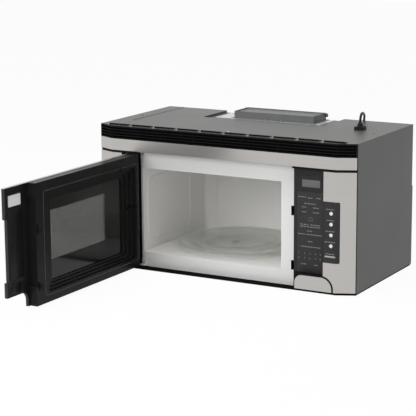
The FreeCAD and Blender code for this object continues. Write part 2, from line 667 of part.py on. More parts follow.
def fan_motor():
    """Cooling fan motor on a shroud plate that closes the rear of the power bay."""
    left = FAN_X - SHROUD_HALF
    right = FAN_X + SHROUD_HALF
    shroud = block(left, right, FAN_DEPTH, FAN_DEPTH + SHEET, FAN_Z - FAN_RADIUS - 20, TOP_UNDER)
    shroud = shroud.cut(rod(FAN_X, FAN_DEPTH - 1, FAN_Z, FAN_RADIUS + FAN_GAP, SHEET + 2, BACK))
    leg = block(left, left + 10, FAN_DEPTH, FAN_DEPTH + SHEET, SHEET, FAN_Z)
    can_front = FAN_DEPTH + MOTOR_SETBACK
    can_back = can_front + MOTOR_STACK
    can = block(FAN_X - 24, FAN_X + 24, can_front, can_back, FAN_Z - 30, FAN_Z + 30)
    parts = [shroud, leg, can]
    reach = FAN_RADIUS + FAN_GAP + 10
    for side in (-1, 1):
        low, high = sorted((side * (reach - 8), side * reach))
        parts.append(block(FAN_X + low, FAN_X + high, FAN_DEPTH, can_back - 10, FAN_Z - 6, FAN_Z + 6))
    parts.append(block(FAN_X - reach, FAN_X + reach, can_back - 16, can_back - 10, FAN_Z - 6, FAN_Z + 6))
    body = join(parts)
    body = body.cut(block(0, WELL_RIGHT + SHEET + 8, FAN_DEPTH - 1, FAN_DEPTH + 2,
                          WELL_FLOOR - 12, CABINET_HEIGHT))
    return body.cut(rod(FAN_X, can_front - 2, FAN_Z, FAN_SHAFT + RUNNING_FIT, MOTOR_STACK, BACK))


def fan_blade():
    hub = rod(FAN_X, FAN_DEPTH - 10, FAN_Z, 12, 20, BACK)
    shaft = rod(FAN_X, FAN_DEPTH - 10, FAN_Z, FAN_SHAFT, MOTOR_SETBACK + MOTOR_STACK - 4, BACK)
    blades = []
    for index in range(5):
        blade = block(FAN_X - 14, FAN_X + 14, FAN_DEPTH - 1.5, FAN_DEPTH + 1.5, FAN_Z + 8, FAN_Z + FAN_RADIUS - 4)
        blade.rotate(at(FAN_X, FAN_DEPTH, FAN_Z), UP, 30)
        blade.rotate(at(FAN_X, FAN_DEPTH, FAN_Z), BACK, index * 72)
        blades.append(blade)
    return join([hub, shaft] + blades)


PIECES["magnetron"] = magnetron()
PIECES["transformer"] = transformer()
PIECES["capacitor"] = capacitor()
PIECES["fan_motor"] = fan_motor()
PIECES["fan_blade"] = fan_blade()

# ---- vent blower over the cavity: two drum wheels on one motor shaft, blowing up into the collar ----
BLOWER_DEPTH = COLLAR_BACK - 51.0
WHEEL_RADIUS = 42.0
WHEEL_WIDTH = 52.0
VOLUTE_RADIUS = 49.0
BLOWER_Z = CAVITY_CEILING + CAVITY_WALL + VOLUTE_RADIUS + 4.0
VOLUTE_INNER = 33.0
VOLUTE_OUTER = 101.0
INLET_RADIUS = 30.0
BLOWER_SHAFT = 4.0
MOTOR_RADIUS = 26.0
VANE_COUNT = 24


def volute(side):
    wall = SHEET
    low, high = sorted((side * VOLUTE_INNER, side * VOLUTE_OUTER))
    roof = WELL_FLOOR - SHEET
    drum = rod(low, BLOWER_DEPTH, BLOWER_Z, VOLUTE_RADIUS, high - low, RIGHT)
    chute = block(low, high, COLLAR_BACK - COLLAR_LENGTH, BLOWER_DEPTH + VOLUTE_RADIUS, BLOWER_Z, roof)
    hollow = rod(low + wall, BLOWER_DEPTH, BLOWER_Z, VOLUTE_RADIUS - wall, high - low - 2 * wall, RIGHT)
    throat_box = block(low + wall, high - wall, COLLAR_BACK - COLLAR_LENGTH + wall,
                       BLOWER_DEPTH + VOLUTE_RADIUS - wall, BLOWER_Z, roof + 1)
    shell = drum.fuse(chute).cut(hollow.fuse(throat_box))
    return shell.cut(rod(low - 1, BLOWER_DEPTH, BLOWER_Z, INLET_RADIUS, high - low + 2, RIGHT))


def blower_motor():
    can = rod(-VOLUTE_INNER + 2, BLOWER_DEPTH, BLOWER_Z, MOTOR_RADIUS, 2 * VOLUTE_INNER - 4, RIGHT)
    saddle = block(-18, 18, BLOWER_DEPTH - 24, BLOWER_DEPTH + 24, CAVITY_CEILING + CAVITY_WALL, BLOWER_Z - 10)
    bore = rod(-VOLUTE_INNER, BLOWER_DEPTH, BLOWER_Z, BLOWER_SHAFT + RUNNING_FIT, 2 * VOLUTE_INNER, RIGHT)
    return can.fuse(saddle).cut(bore)


def blower_wheels():
    """Both squirrel cage wheels with their common shaft."""
    parts = [rod(-VOLUTE_OUTER + 6, BLOWER_DEPTH, BLOWER_Z, BLOWER_SHAFT, 2 * VOLUTE_OUTER - 12, RIGHT)]
    middle = (VOLUTE_INNER + VOLUTE_OUTER) / 2
    for side in (-1, 1):
        start = side * middle - WHEEL_WIDTH / 2
        disc = rod(side * middle - 1, BLOWER_DEPTH, BLOWER_Z, WHEEL_RADIUS, 2, RIGHT)
        parts.append(disc)
        for x in (start, start + WHEEL_WIDTH - 2):
            ring = rod(x, BLOWER_DEPTH, BLOWER_Z, WHEEL_RADIUS, 2, RIGHT)
            parts.append(ring.cut(rod(x - 1, BLOWER_DEPTH, BLOWER_Z, WHEEL_RADIUS - 7, 4, RIGHT)))
        for index in range(VANE_COUNT):
            vane = block(start, start + WHEEL_WIDTH, BLOWER_DEPTH - 0.5, BLOWER_DEPTH + 0.5,
                         BLOWER_Z + WHEEL_RADIUS - 6.5, BLOWER_Z + WHEEL_RADIUS - 0.5)
            vane.rotate(at(0, BLOWER_DEPTH, BLOWER_Z), RIGHT, index * 360 / VANE_COUNT)
            parts.append(vane)
    result = parts[0].multiFuse(parts[1:])
    return result


PIECES["blower_housings"] = Part.makeCompound([volute(-1), volute(1)])
PIECES["blower_motor"] = blower_motor()
PIECES["blower_wheels"] = blower_wheels()

# ---- exhaust plate, collar and back draught damper in the well ----
EXHAUST_PLATE = 1.0
PLATE_EDGE_LEFT = -172.0
PLATE_EDGE_RIGHT = 150.0
PLATE_EDGE_FRONT = COLLAR_BACK - 97.0
COLLAR_WALL = 0.8
COLLAR_FLANGE = 7.0
HINGE_WIRE = 1.5
DAMPER_HINGE_DEPTH = COLLAR_BACK - 6.0
DAMPER_DROP = 4.0
COLLAR_TOP = WELL_FLOOR + EXHAUST_PLATE + COLLAR_HEIGHT
DAMPER_Z = COLLAR_TOP - DAMPER_DROP


def exhaust_plate():
    level = WELL_FLOOR
    plate = block(PLATE_EDGE_LEFT, PLATE_EDGE_RIGHT, PLATE_EDGE_FRONT, BACK_INNER, level, level + EXHAUST_PLATE)
    return plate.cut(throat(level - 1, level + EXHAUST_PLATE + 1))


def exhaust_collar():
    """Short rectangular spigot that the house duct slides over, with ears for the damper wire."""
    left = COLLAR_X - COLLAR_WIDTH / 2
    right = COLLAR_X + COLLAR_WIDTH / 2
    front = COLLAR_BACK - COLLAR_LENGTH
    low = WELL_FLOOR + EXHAUST_PLATE
    wall = COLLAR_WALL
    box = block(left, right, front, COLLAR_BACK, low, COLLAR_TOP)
    flange = block(left - COLLAR_FLANGE, right + COLLAR_FLANGE, front - COLLAR_FLANGE,
                   COLLAR_BACK + 4.0, low, low + wall)
    body = box.fuse(flange)
    body = body.cut(block(left + wall, right - wall, front + wall, COLLAR_BACK - wall, low - 1, COLLAR_TOP + 1))
    hole = rod(left - 1, DAMPER_HINGE_DEPTH, DAMPER_Z, HINGE_WIRE + RUNNING_FIT, COLLAR_WIDTH + 2, RIGHT)
    return body.cut(hole)


def damper_flap():
    half = COLLAR_WIDTH / 2
    wire = rod(COLLAR_X - half - 2, DAMPER_HINGE_DEPTH, DAMPER_Z, HINGE_WIRE, COLLAR_WIDTH + 4, RIGHT)
    reach = COLLAR_LENGTH - COLLAR_WALL - 2.0
    half -= COLLAR_WALL + 1.2
    leaf = block(COLLAR_X - half, COLLAR_X + half, COLLAR_BACK - reach,
                 DAMPER_HINGE_DEPTH, DAMPER_Z, DAMPER_Z + DAMPER_SHEET)
    return wire.fuse(leaf)


PIECES["exhaust_plate"] = exhaust_plate()
PIECES["exhaust_collar"] = exhaust_collar()
PIECES["damper_flap"] = damper_flap()

# ---- turntable: motor under the floor, coupler, roller ring, three rollers and the glass tray ----
TRAY_LOW = CAVITY_FLOOR + 2 * ROLLER_RADIUS + 2 * ROLL_CLEARANCE
ROLLER_Z = CAVITY_FLOOR + ROLLER_RADIUS + ROLL_CLEARANCE
TURNTABLE_SHAFT = 3.5
MOTOR_LOW = CAVITY_FLOOR - 22.0
RING_WIDTH = 6.0
AXLE_RADIUS = 1.5
LOBE_COUNT = 3


def turntable_motor():
    top = CAVITY_FLOOR - CAVITY_WALL
    can = rod(TRAY_X, TRAY_DEPTH, MOTOR_LOW, 25, top - MOTOR_LOW)
    ears = block(TRAY_X - 35, TRAY_X + 35, TRAY_DEPTH - 6, TRAY_DEPTH + 6, top - 2, top)
    bore = rod(TRAY_X, TRAY_DEPTH, MOTOR_LOW + 5, TURNTABLE_SHAFT + RUNNING_FIT, 30)
    return can.fuse(ears).cut(bore)


def turntable_coupler():
    shaft = rod(TRAY_X, TRAY_DEPTH, MOTOR_LOW + 7, TURNTABLE_SHAFT, TRAY_LOW - MOTOR_LOW - 9)
    hub = rod(TRAY_X, TRAY_DEPTH, CAVITY_FLOOR + 1.5, 10, TRAY_LOW - CAVITY_FLOOR - 1.5)
    lobes = []
    for index in range(LOBE_COUNT):
        lobe = block(TRAY_X, TRAY_X + 20, TRAY_DEPTH - 5, TRAY_DEPTH + 5, CAVITY_FLOOR + 4, TRAY_LOW)
        lobe.rotate(at(TRAY_X, TRAY_DEPTH, 0), UP, index * 360 / LOBE_COUNT)
        lobes.append(lobe)
    return join([shaft, hub] + lobes)


def roller_ring():
    inner = ROLLER_CIRCLE - ROLLER_WIDTH / 2 - 2 - RING_WIDTH
    ring = rod(TRAY_X, TRAY_DEPTH, ROLLER_Z - 2.5, inner + RING_WIDTH, 5)
    ring = ring.cut(rod(TRAY_X, TRAY_DEPTH, ROLLER_Z - 3.5, inner, 7))
    parts = [ring]
    for index in range(3):
        axle = rod(TRAY_X + inner + 3, TRAY_DEPTH, ROLLER_Z, AXLE_RADIUS,
                   RING_WIDTH + ROLLER_WIDTH + 1, RIGHT)
        axle.rotate(at(TRAY_X, TRAY_DEPTH, 0), UP, index * 120 - 90)
        parts.append(axle)
    return join(parts)


def roller(index):
    wheel = rod(TRAY_X + ROLLER_CIRCLE - ROLLER_WIDTH / 2, TRAY_DEPTH, ROLLER_Z, ROLLER_RADIUS,
                ROLLER_WIDTH, RIGHT)
    wheel = wheel.cut(rod(TRAY_X + ROLLER_CIRCLE - ROLLER_WIDTH, TRAY_DEPTH, ROLLER_Z,
                          AXLE_RADIUS + RUNNING_FIT, 2 * ROLLER_WIDTH, RIGHT))
    wheel.rotate(at(TRAY_X, TRAY_DEPTH, 0), UP, index * 120 - 90)
    return wheel


def glass_tray():
    """Flat glass disc with a rim that rises and rolls outwards, turned about its middle."""
    rim = TRAY_RADIUS
    low = TRAY_LOW
    glass = TRAY_THICKNESS
    profile = [(0, low), (rim - 22, low), (rim - 7, low + TRAY_RIM - glass), (rim, low + TRAY_RIM - glass + 1),
               (rim, low + TRAY_RIM), (rim - 9, low + TRAY_RIM), (rim - 24, low + glass), (0, low + glass)]
    corners = [Vector(TRAY_X + r, FRONT_Y + TRAY_DEPTH, z) for r, z in profile]
    face = Part.Face(Part.makePolygon(corners + corners[:1]))
    return face.revolve(at(TRAY_X, TRAY_DEPTH, 0), UP, 360)


PIECES["turntable_motor"] = turntable_motor()
PIECES["turntable_coupler"] = turntable_coupler()
PIECES["roller_ring"] = roller_ring()
for number in range(3):
    PIECES["roller_%d" % (number + 1)] = roller(number)
PIECES["glass_tray"] = glass_tray()

# ---- hinge brackets: white arms above and below the door, each with a pivot pin ----
FOOT_RIGHT = PLATE_LEFT + 16.0
FOOT_HEIGHT = 20.0
ARM_HALF = 8.0
PIN_REACH = 9.5
ARM_TOP_Z = DOOR_TOP + HINGE_GAP
ARM_LOW_Z = DOOR_BOTTOM - HINGE_GAP


def hinge_bracket(arm_low, arm_high, foot_low, foot_high, pin_low, pin_high):
    left = PIVOT_X - ARM_HALF
    right = PIVOT_X + ARM_HALF
    arm = block(left, right, PIVOT_DEPTH, PLATE_DEPTH, arm_low, arm_high)
    nose = rod(PIVOT_X, PIVOT_DEPTH, arm_low, ARM_HALF, arm_high - arm_low)
    web = block(left, FOOT_RIGHT, PLATE_DEPTH - 9, PLATE_DEPTH, arm_low, arm_high)
    foot = block(PLATE_LEFT, FOOT_RIGHT, PLATE_DEPTH - SHEET, PLATE_DEPTH, foot_low, foot_high)
    pin = rod(PIVOT_X, PIVOT_DEPTH, pin_low, PIN_RADIUS, pin_high - pin_low)
    return join([arm, nose, web, foot, pin])


def hinge_brackets():
    upper = hinge_bracket(ARM_TOP_Z, ARM_TOP_Z + HINGE_ARM, ARM_TOP_Z + HINGE_ARM - FOOT_HEIGHT,
                          ARM_TOP_Z + HINGE_ARM, DOOR_TOP - PIN_REACH, ARM_TOP_Z + HINGE_ARM)
    lower = hinge_bracket(ARM_LOW_Z - HINGE_ARM, ARM_LOW_Z, ARM_LOW_Z - HINGE_ARM,
                          ARM_LOW_Z - HINGE_ARM + FOOT_HEIGHT, ARM_LOW_Z - HINGE_ARM, DOOR_BOTTOM + PIN_REACH)
    return Part.makeCompound([upper, lower])


PIECES["hinge_brackets"] = hinge_brackets()

# ---- door, drawn closed and swung open at the end ----
WING_BOTTOM = ARCH_TOP + ARCH_CLEARANCE
WING_CORNER_X = ARCH_LEFT - 5.0
WING_ARC = ARCH_LEFT_ROUND + ARCH_CLEARANCE
RIM_LEFT = BODY_LEFT + 7.0
RIM_RIGHT = BODY_RIGHT - 33.0
RIM_LOW = DOOR_BOTTOM + 21.0
RIM_HIGH = DOOR_TOP - 27.0
RIM_ROUND = 8.0
VIEW_LEFT = RIM_LEFT + 54.0
VIEW_RIGHT = RIM_RIGHT - 49.0
VIEW_LOW = RIM_LOW + 26.0
VIEW_HIGH = RIM_HIGH - 30.0
CHOKE_STEPS = ((0.22, 24.5), (0.48, 19.0), (0.75, 14.5))
SCREEN_DEPTH = 10.0
SCREEN_SHEET = 0.6
SCREEN_INSET = 1.5
CHOKE_GAP = 0.3
GLASS_MARGIN = 28.0
GLASS_BACK = 3.0
GLASS_GAP = 0.2
GLASS_CORNER = 14.0
LENS_ROUND = 2.0
FLANGE_DEPTH = 9.0
UPPER_TAB = (12.0, 39.0)
LOWER_TAB = 50.0


def door_outline(inset):
    notch_x = DOOR_RIGHT - NOTCH_DEPTH
    low_notch = BUTTON_PANEL_LOW
    return [(DOOR_LEFT + inset, DOOR_BOTTOM + inset), (WING_CORNER_X - inset, DOOR_BOTTOM + inset),
            (WING_CORNER_X - inset, WING_BOTTOM + inset, WING_ARC + inset),
            (DOOR_RIGHT - inset, WING_BOTTOM + inset), (DOOR_RIGHT - inset, low_notch - inset),
            (notch_x - inset, low_notch - inset), (notch_x - inset, BUTTON_PANEL_HIGH + inset),
            (DOOR_RIGHT - inset, BUTTON_PANEL_HIGH + inset), (DOOR_RIGHT - inset, DOOR_TOP - inset),
            (DOOR_LEFT + inset, DOOR_TOP - inset)]


def heel_plan(inset, back):
    """Plan outline of the front slab; its hinge corner is rounded so that it turns in the channel."""
    return [(DOOR_LEFT + inset, inset, HEEL_ROUND - inset), (DOOR_RIGHT + 1, inset),
            (DOOR_RIGHT + 1, back), (DOOR_LEFT + inset, back)]


def door_slab(inset, front, back):
    slab = prism(door_outline(inset), front, back)
    return slab.common(prism(heel_plan(inset, back + 1), 0, DOOR_TOP + 5, "plan"))


def display_lens_shape(clearance, front, back):
    return prism(rectangle(DISPLAY_CENTRE_X - DISPLAY_WIDTH / 2 - clearance,
                           DISPLAY_CENTRE_X + DISPLAY_WIDTH / 2 + clearance,
                           DISPLAY_CENTRE_Z - DISPLAY_HEIGHT / 2 - clearance,
                           DISPLAY_CENTRE_Z + DISPLAY_HEIGHT / 2 + clearance, LENS_ROUND), front, back)


def glass_shape(clearance, front, back):
    grow = GLASS_MARGIN - 8 + clearance
    return prism(rectangle(VIEW_LEFT - GLASS_MARGIN - clearance, VIEW_RIGHT + GLASS_MARGIN + clearance,
                           VIEW_LOW - grow, VIEW_HIGH + grow, GLASS_CORNER), front, back)


def choke_rectangle(share):
    """Outline between the outer rim (share 0) and the window of the choke cover (share 1)."""
    return rectangle(RIM_LEFT + share * (VIEW_LEFT - RIM_LEFT), RIM_RIGHT + share * (VIEW_RIGHT - RIM_RIGHT),
                     RIM_LOW + share * (VIEW_LOW - RIM_LOW), RIM_HIGH + share * (VIEW_HIGH - RIM_HIGH),
                     RIM_ROUND)


def rim_rectangle(inset):
    return rectangle(RIM_LEFT + inset, RIM_RIGHT - inset, RIM_LOW + inset, RIM_HIGH - inset, RIM_ROUND)


def door_skin():
    """Steel face of the door, folded back round its edges."""
    skin = door_slab(0, 0, FLANGE_DEPTH).cut(door_slab(DOOR_SKIN, DOOR_SKIN, FLANGE_DEPTH + 1))
    skin = skin.cut(glass_shape(GLASS_GAP, -1, GLASS_BACK))
    return skin.cut(display_lens_shape(0.1, -1, FLANGE_DEPTH))


LATCH_CHANNEL = (LATCH_X - 7.5, LATCH_X + 3.5, 13.0, HOOK_HEIGHTS[1] - 17.0, HOOK_HEIGHTS[0] + 39.0)
LATCH_BAR = (LATCH_X - 6.0, LATCH_X + 2.0, 14.0, 20.0, HOOK_HEIGHTS[1] - 13.0, HOOK_HEIGHTS[0] + 15.0)
HOOK_LIFT = 3.0
HOOK_LEFT = LATCH_X - 2.0
HOOK_RIGHT = LATCH_X + 1.0
HOOK_REACH = PLATE_DEPTH + 12.0


def door_frame():
    """Black moulded frame: slab with the thin wing, deep surround, hinge column and latch channel."""
    slab = door_slab(DOOR_SKIN, DOOR_SKIN, WING_THICKNESS)
    low = DOOR_BOTTOM + DOOR_SKIN
    high = DOOR_TOP - DOOR_SKIN
    body = block(BODY_LEFT, BODY_RIGHT, WING_THICKNESS - 1, DOOR_THICKNESS, low, high)
    column = rod(PIVOT_X, PIVOT_DEPTH, DOOR_BOTTOM, KNUCKLE_RADIUS, DOOR_TOP - DOOR_BOTTOM)
    bridge = block(PIVOT_X, BODY_LEFT + 2, WING_THICKNESS - 1, PIVOT_DEPTH + KNUCKLE_RADIUS - 1, low, high)
    upper_tab = block(BODY_RIGHT - 1, BODY_RIGHT + TAB_REACH, WING_THICKNESS - 1, DOOR_THICKNESS,
                      DOOR_TOP - UPPER_TAB[1], DOOR_TOP - UPPER_TAB[0])
    tab_high = DOOR_BOTTOM + LOWER_TAB
    lower_tab = prism([(BODY_RIGHT - 1, low), (BODY_RIGHT + TAB_REACH, low),
                       (BODY_RIGHT + TAB_REACH, tab_high, 4), (BODY_RIGHT - 1, tab_high)],
                      WING_THICKNESS - 1, DOOR_THICKNESS)
    frame = join([slab, body, column, bridge, upper_tab, lower_tab])
    frame = frame.cut(block(DOOR_LEFT - 1, DOOR_RIGHT + 1, 0, FLANGE_DEPTH, DOOR_TOP - DOOR_SKIN, DOOR_TOP + 1))
    frame = frame.cut(block(DOOR_LEFT - 1, DOOR_RIGHT + 1, 0, FLANGE_DEPTH, 0, DOOR_BOTTOM + DOOR_SKIN))
    frame = frame.cut(glass_shape(GLASS_GAP, 0, GLASS_BACK))
    frame = frame.cut(prism(choke_rectangle(1), 0, SCREEN_DEPTH + 1))
    frame = frame.cut(prism(choke_rectangle(0), SCREEN_DEPTH, DOOR_THICKNESS + 1))
    frame = frame.cut(display_lens_shape(0.1, 0, WING_THICKNESS + 1))
    left, right, front, bottom, top = LATCH_CHANNEL
    frame = frame.cut(block(left, right, front, DOOR_THICKNESS - 2, bottom, top))
    for height in HOOK_HEIGHTS:
        frame = frame.cut(block(HOOK_LEFT - 0.7, HOOK_RIGHT + 0.7, front, DOOR_THICKNESS + 1,
                                height - 7, height + 12 + HOOK_LIFT))
    for start in (DOOR_BOTTOM, DOOR_TOP - PIN_REACH - 2):
        frame = frame.cut(rod(PIVOT_X, PIVOT_DEPTH, start - 1, PIN_RADIUS + RUNNING_FIT, PIN_REACH + 4))
    return frame


def choke_cover():
    """Stepped surround between the rim of the door and its window."""
    back = DOOR_THICKNESS + 0.5
    front = SCREEN_DEPTH + SCREEN_SHEET
    cover = prism(rim_rectangle(CHOKE_GAP), front, back)
    for share, depth in CHOKE_STEPS:
        cover = cover.cut(prism(choke_rectangle(share), depth, back + 1))
    return cover.cut(prism(choke_rectangle(1), 0, back + 1))


def door_screen():
    """Perforated metal sheet across the window."""
    return prism(rim_rectangle(SCREEN_INSET), SCREEN_DEPTH, SCREEN_DEPTH + SCREEN_SHEET)


def latch_bar():
    left, right, front, back, bottom, top = LATCH_BAR
    parts = [block(left, right, front, back, bottom, top)]
    for z in HOOK_HEIGHTS:
        neck = HOOK_REACH - 7
        parts.append(prism([(back - 1, z), (neck, z), (neck, z - 5), (HOOK_REACH, z - 1), (HOOK_REACH, z + 5),
                            (neck - 3, z + 11), (back - 1, z + 11)], HOOK_LEFT, HOOK_RIGHT, "side"))
    return join(parts)


def latch_spring():
    """Compression spring above the latch bar, drawn as a thin sleeve."""
    left, right, front, back, bottom, top = LATCH_BAR
    middle = (left + right) / 2
    depth = (front + back) / 2
    length = LATCH_CHANNEL[4] - top
    return rod(middle, depth, top, 2.6, length).cut(rod(middle, depth, top - 1, 1.9, length + 2))


DOOR_PIECES = {
    "door_skin": door_skin(),
    "door_frame": door_frame(),
    "door_glass": glass_shape(0, 0, GLASS_BACK),
    "door_screen": door_screen(),
    "choke_cover": choke_cover(),
    "display_lens": display_lens_shape(0, -0.2, WING_THICKNESS - 0.5),
    "latch_bar": latch_bar(),
    "latch_spring": latch_spring(),
}
for name, shape in DOOR_PIECES.items():
    PIECES[name] = swing(shape)

# ---- interlock switches behind the latch slots ----
SWITCH_HALF = 9.0
SWITCH_SETBACK = 15.8
SWITCH_DEPTH = 10.0
SWITCH_HEIGHT = 28.0


def interlock():
    """Three micro switches on a folded bracket; their plungers face the slots."""
    low = LATCH_SLOTS[1][0] - 8
    high = LATCH_SLOTS[0][1] + 9
    side = LATCH_X + SWITCH_HALF
    front = PLATE_BACK + SWITCH_SETBACK
    back = front + SWITCH_DEPTH
    parts = [block(side, side + SHEET, PLATE_BACK, back + 8, low, high),
             block(side, side + 8 * SHEET, PLATE_BACK, PLATE_BACK + SHEET, low, high)]
    half = SWITCH_HEIGHT / 2
    heights = [(slot[0] + slot[1]) / 2 for slot in LATCH_SLOTS]
    heights.append(sum(heights) / 2)
    for middle in heights:
        parts.append(block(LATCH_X - SWITCH_HALF, side, front, back, middle - half, middle + half))
        parts.append(block(LATCH_X - 1.5, LATCH_X + 1.5, front - 3, front, middle - 2, middle + 2))
    return join(parts)


PIECES["interlock"] = interlock()

# ---- control column: black housing, right pillar, arch trim, keypad, display and buttons ----
COLLAR_RADIUS = 7.5
COLLAR_THICKNESS = 1.2
BUTTON_HOLE_GAP = 0.4
PANEL_FRONT = -0.6
HOUSING_FRONT = TRIM_SHEET
GUIDE_PLATE = (9.0, 11.0)
GUIDE_RIGHT = BREAK_X - 2.25
BOARD_DEPTH = 22.0
BOARD_SHEET = 1.6
HOUSING_FLOOR = KEYPAD_DEPTH + KEYPAD_SHEET
BUTTON_HEIGHTS = [BUTTON_LOWEST + index * BUTTON_PITCH for index in range(BUTTON_COUNT)]


def arch_outline(grow):
    return [(ARCH_LEFT - grow, SILL_TOP), (ARCH_LEFT - grow, ARCH_TOP + grow, ARCH_LEFT_ROUND + grow),
            (ARCH_RIGHT + grow, ARCH_TOP + grow, ARCH_RIGHT_ROUND + grow), (ARCH_RIGHT + grow, SILL_TOP)]


def display_box(grow, front, back):
    return prism(rectangle(DISPLAY_CENTRE_X - DISPLAY_WIDTH / 2 - grow, DISPLAY_CENTRE_X + DISPLAY_WIDTH / 2 + grow,
                           DISPLAY_CENTRE_Z - DISPLAY_HEIGHT / 2 - grow,
                           DISPLAY_CENTRE_Z + DISPLAY_HEIGHT / 2 + grow, 3.0), front, back)


def control_housing():
    wall = HOUSING_WALL
    column = prism(post_outline(COLUMN_LEFT, PLATE_DEPTH), SILL_TOP, DOOR_TOP, "plan")
    keypad = block(HOUSING_LEFT, COLUMN_LEFT + wall, HOUSING_FLOOR, PLATE_DEPTH, SILL_TOP, DOOR_TOP)
    arch = prism(arch_outline(ARCH_OUTLINE - 1.0), HOUSING_FRONT - 0.2, PLATE_DEPTH)
    housing = join([column, keypad, arch])
    column_in = prism(post_hollow(COLUMN_LEFT + wall, PLATE_DEPTH + 1), SILL_TOP + wall, DOOR_TOP - wall, "plan")
    keypad_in = block(HOUSING_LEFT + wall, COLUMN_LEFT + wall + 1, HOUSING_FLOOR + wall, PLATE_DEPTH + 1,
                      SILL_TOP + wall, DOOR_TOP - wall)
    arch_in = block(ARCH_LEFT + 6, ARCH_RIGHT - 20, HOUSING_FRONT + wall, PLATE_DEPTH + 1,
                    SILL_TOP + wall, ARCH_TOP - 12)
    housing = housing.cut(column_in).cut(keypad_in).cut(arch_in)
    housing = housing.cut(display_box(-2.0, HOUSING_FLOOR - 1, HOUSING_FLOOR + wall + 1))
    front, back = GUIDE_PLATE
    low = BUTTON_HEIGHTS[0] - 12
    high = BUTTON_HEIGHTS[-1] + 12
    guide = block(COLUMN_LEFT + 6, GUIDE_RIGHT, front, back, low, high)
    ribs = [block(x, x + 1.5, HOUSING_FRONT + wall - 0.5, back, low, high)
            for x in (COLUMN_LEFT + 6, GUIDE_RIGHT - 1.5)]
    housing = join([housing, guide] + ribs)
    for height in BUTTON_HEIGHTS:
        housing = housing.cut(rod(BUTTON_X, 0, height, BUTTON_RADIUS + BUTTON_HOLE_GAP, 5, BACK))
        housing = housing.cut(rod(BUTTON_X, 5, height, STEM_RADIUS + RUNNING_FIT, 10, BACK))
    return housing


def button_panel_outline(left, grow):
    corner = BUTTON_PANEL_ROUND + grow
    return [(left, BUTTON_PANEL_LOW - grow), (BUTTON_PANEL_RIGHT + grow, BUTTON_PANEL_LOW - grow, corner),
            (BUTTON_PANEL_RIGHT + grow, BUTTON_PANEL_HIGH + grow, corner), (left, BUTTON_PANEL_HIGH + grow)]


def right_pillar():
    pillar = pillar_steel(COLUMN_LEFT)
    gap = 0.8
    cut = prism(button_panel_outline(COLUMN_LEFT - 9, gap), -1, FACET_SETBACK)
    arch = prism([(x, z - 1 if z == SILL_TOP else z) + tuple(r) for x, z, *r in arch_outline(ARCH_OUTLINE)], -1, 5)
    return pillar.cut(cut).cut(arch)


def arch_trim():
    outline = arch_outline(0)
    low = SILL_TOP + 0.5
    outline = [(x, max(z, low)) + tuple(r) for x, z, *r in outline]
    return prism(outline, -TRIM_SHEET, HOUSING_FRONT - 0.2)


def button_panel():
    """Thin black plate that folds over the break of the front like the steel beside it."""
    left = COLUMN_LEFT + 1.2
    layer = prism([(left, PANEL_FRONT), (BREAK_X, PANEL_FRONT), (HALF, FACET_SETBACK + PANEL_FRONT),
                   (HALF, FACET_SETBACK + HOUSING_FRONT), (BREAK_X, HOUSING_FRONT), (left, HOUSING_FRONT)],
                  BUTTON_PANEL_LOW, BUTTON_PANEL_HIGH, "plan")
    panel = layer.common(prism(button_panel_outline(left, 0), -2, FACET_SETBACK))
    for height in BUTTON_HEIGHTS:
        panel = panel.cut(rod(BUTTON_X, PANEL_FRONT - 1, height, BUTTON_RADIUS + BUTTON_HOLE_GAP, 4, BACK))
    return panel


def push_button(height):
    front = PANEL_FRONT - BUTTON_PROUD
    collar = HOUSING_FRONT + HOUSING_WALL + 0.05
    cap = rod(BUTTON_X, front, height, BUTTON_RADIUS, collar - front + COLLAR_THICKNESS, BACK)
    ring = rod(BUTTON_X, collar, height, COLLAR_RADIUS, COLLAR_THICKNESS, BACK)
    stem = rod(BUTTON_X, front + 1, height, STEM_RADIUS, BOARD_DEPTH - 4.0 - front - 1, BACK)
    return join([cap, ring, stem])


def membrane_keypad():
    right = COLUMN_LEFT - 0.5
    top = DOOR_TOP - 1.5
    sheet = prism([(HOUSING_LEFT + 1.5, ARCH_TOP + ARCH_OUTLINE + 1), (right, ARCH_TOP + ARCH_OUTLINE + 1),
                   (right, top), (HOUSING_LEFT + 1.5, top, 7)], KEYPAD_DEPTH, HOUSING_FLOOR)
    return sheet.cut(display_box(-2.0, KEYPAD_DEPTH - 1, HOUSING_FLOOR + 1))


def display_window():
    return display_box(4.0, KEYPAD_DEPTH - 0.6, KEYPAD_DEPTH)


def control_board():
    """Circuit board with the display module, button switches, relays and their four standoffs."""
    front = BOARD_DEPTH
    back = front + BOARD_SHEET
    left = HOUSING_LEFT + 4
    right = GUIDE_RIGHT
    low = SILL_TOP + 46.5
    high = DOOR_TOP - 5.0
    board = block(left, right, front, back, low, high)
    module = block(DISPLAY_CENTRE_X - 26, DISPLAY_CENTRE_X + 26, HOUSING_FLOOR + HOUSING_WALL + 0.4, front,
                   DISPLAY_CENTRE_Z - 15, DISPLAY_CENTRE_Z + 15)
    parts = [board, module, block(left + 8, left + 48, back, back + 9, low + 68, low + 113)]
    for index in range(3):
        relay = low + 28 + index * 30
        parts.append(block(left + 60, left + 78, back, back + 9, relay, relay + 22))
    for height in BUTTON_HEIGHTS:
        parts.append(block(BUTTON_X - 3, BUTTON_X + 3, front - 2.2, front, height - 3, height + 3))
    for x in (left + 6, COLUMN_LEFT - 12):
        for z in (low + 8, high - 8):
            parts.append(rod(x, HOUSING_FLOOR + HOUSING_WALL, z, 3, front - HOUSING_FLOOR - HOUSING_WALL, BACK))
    return join(parts)


PIECES["control_housing"] = control_housing()
PIECES["right_pillar"] = right_pillar()
PIECES["arch_trim"] = arch_trim()
PIECES["button_panel"] = button_panel()
for number, height in enumerate(BUTTON_HEIGHTS):
    PIECES["push_button_%d" % (number + 1)] = push_button(height)
PIECES["membrane_keypad"] = membrane_keypad()
PIECES["display_window"] = display_window()
PIECES["control_board"] = control_board()

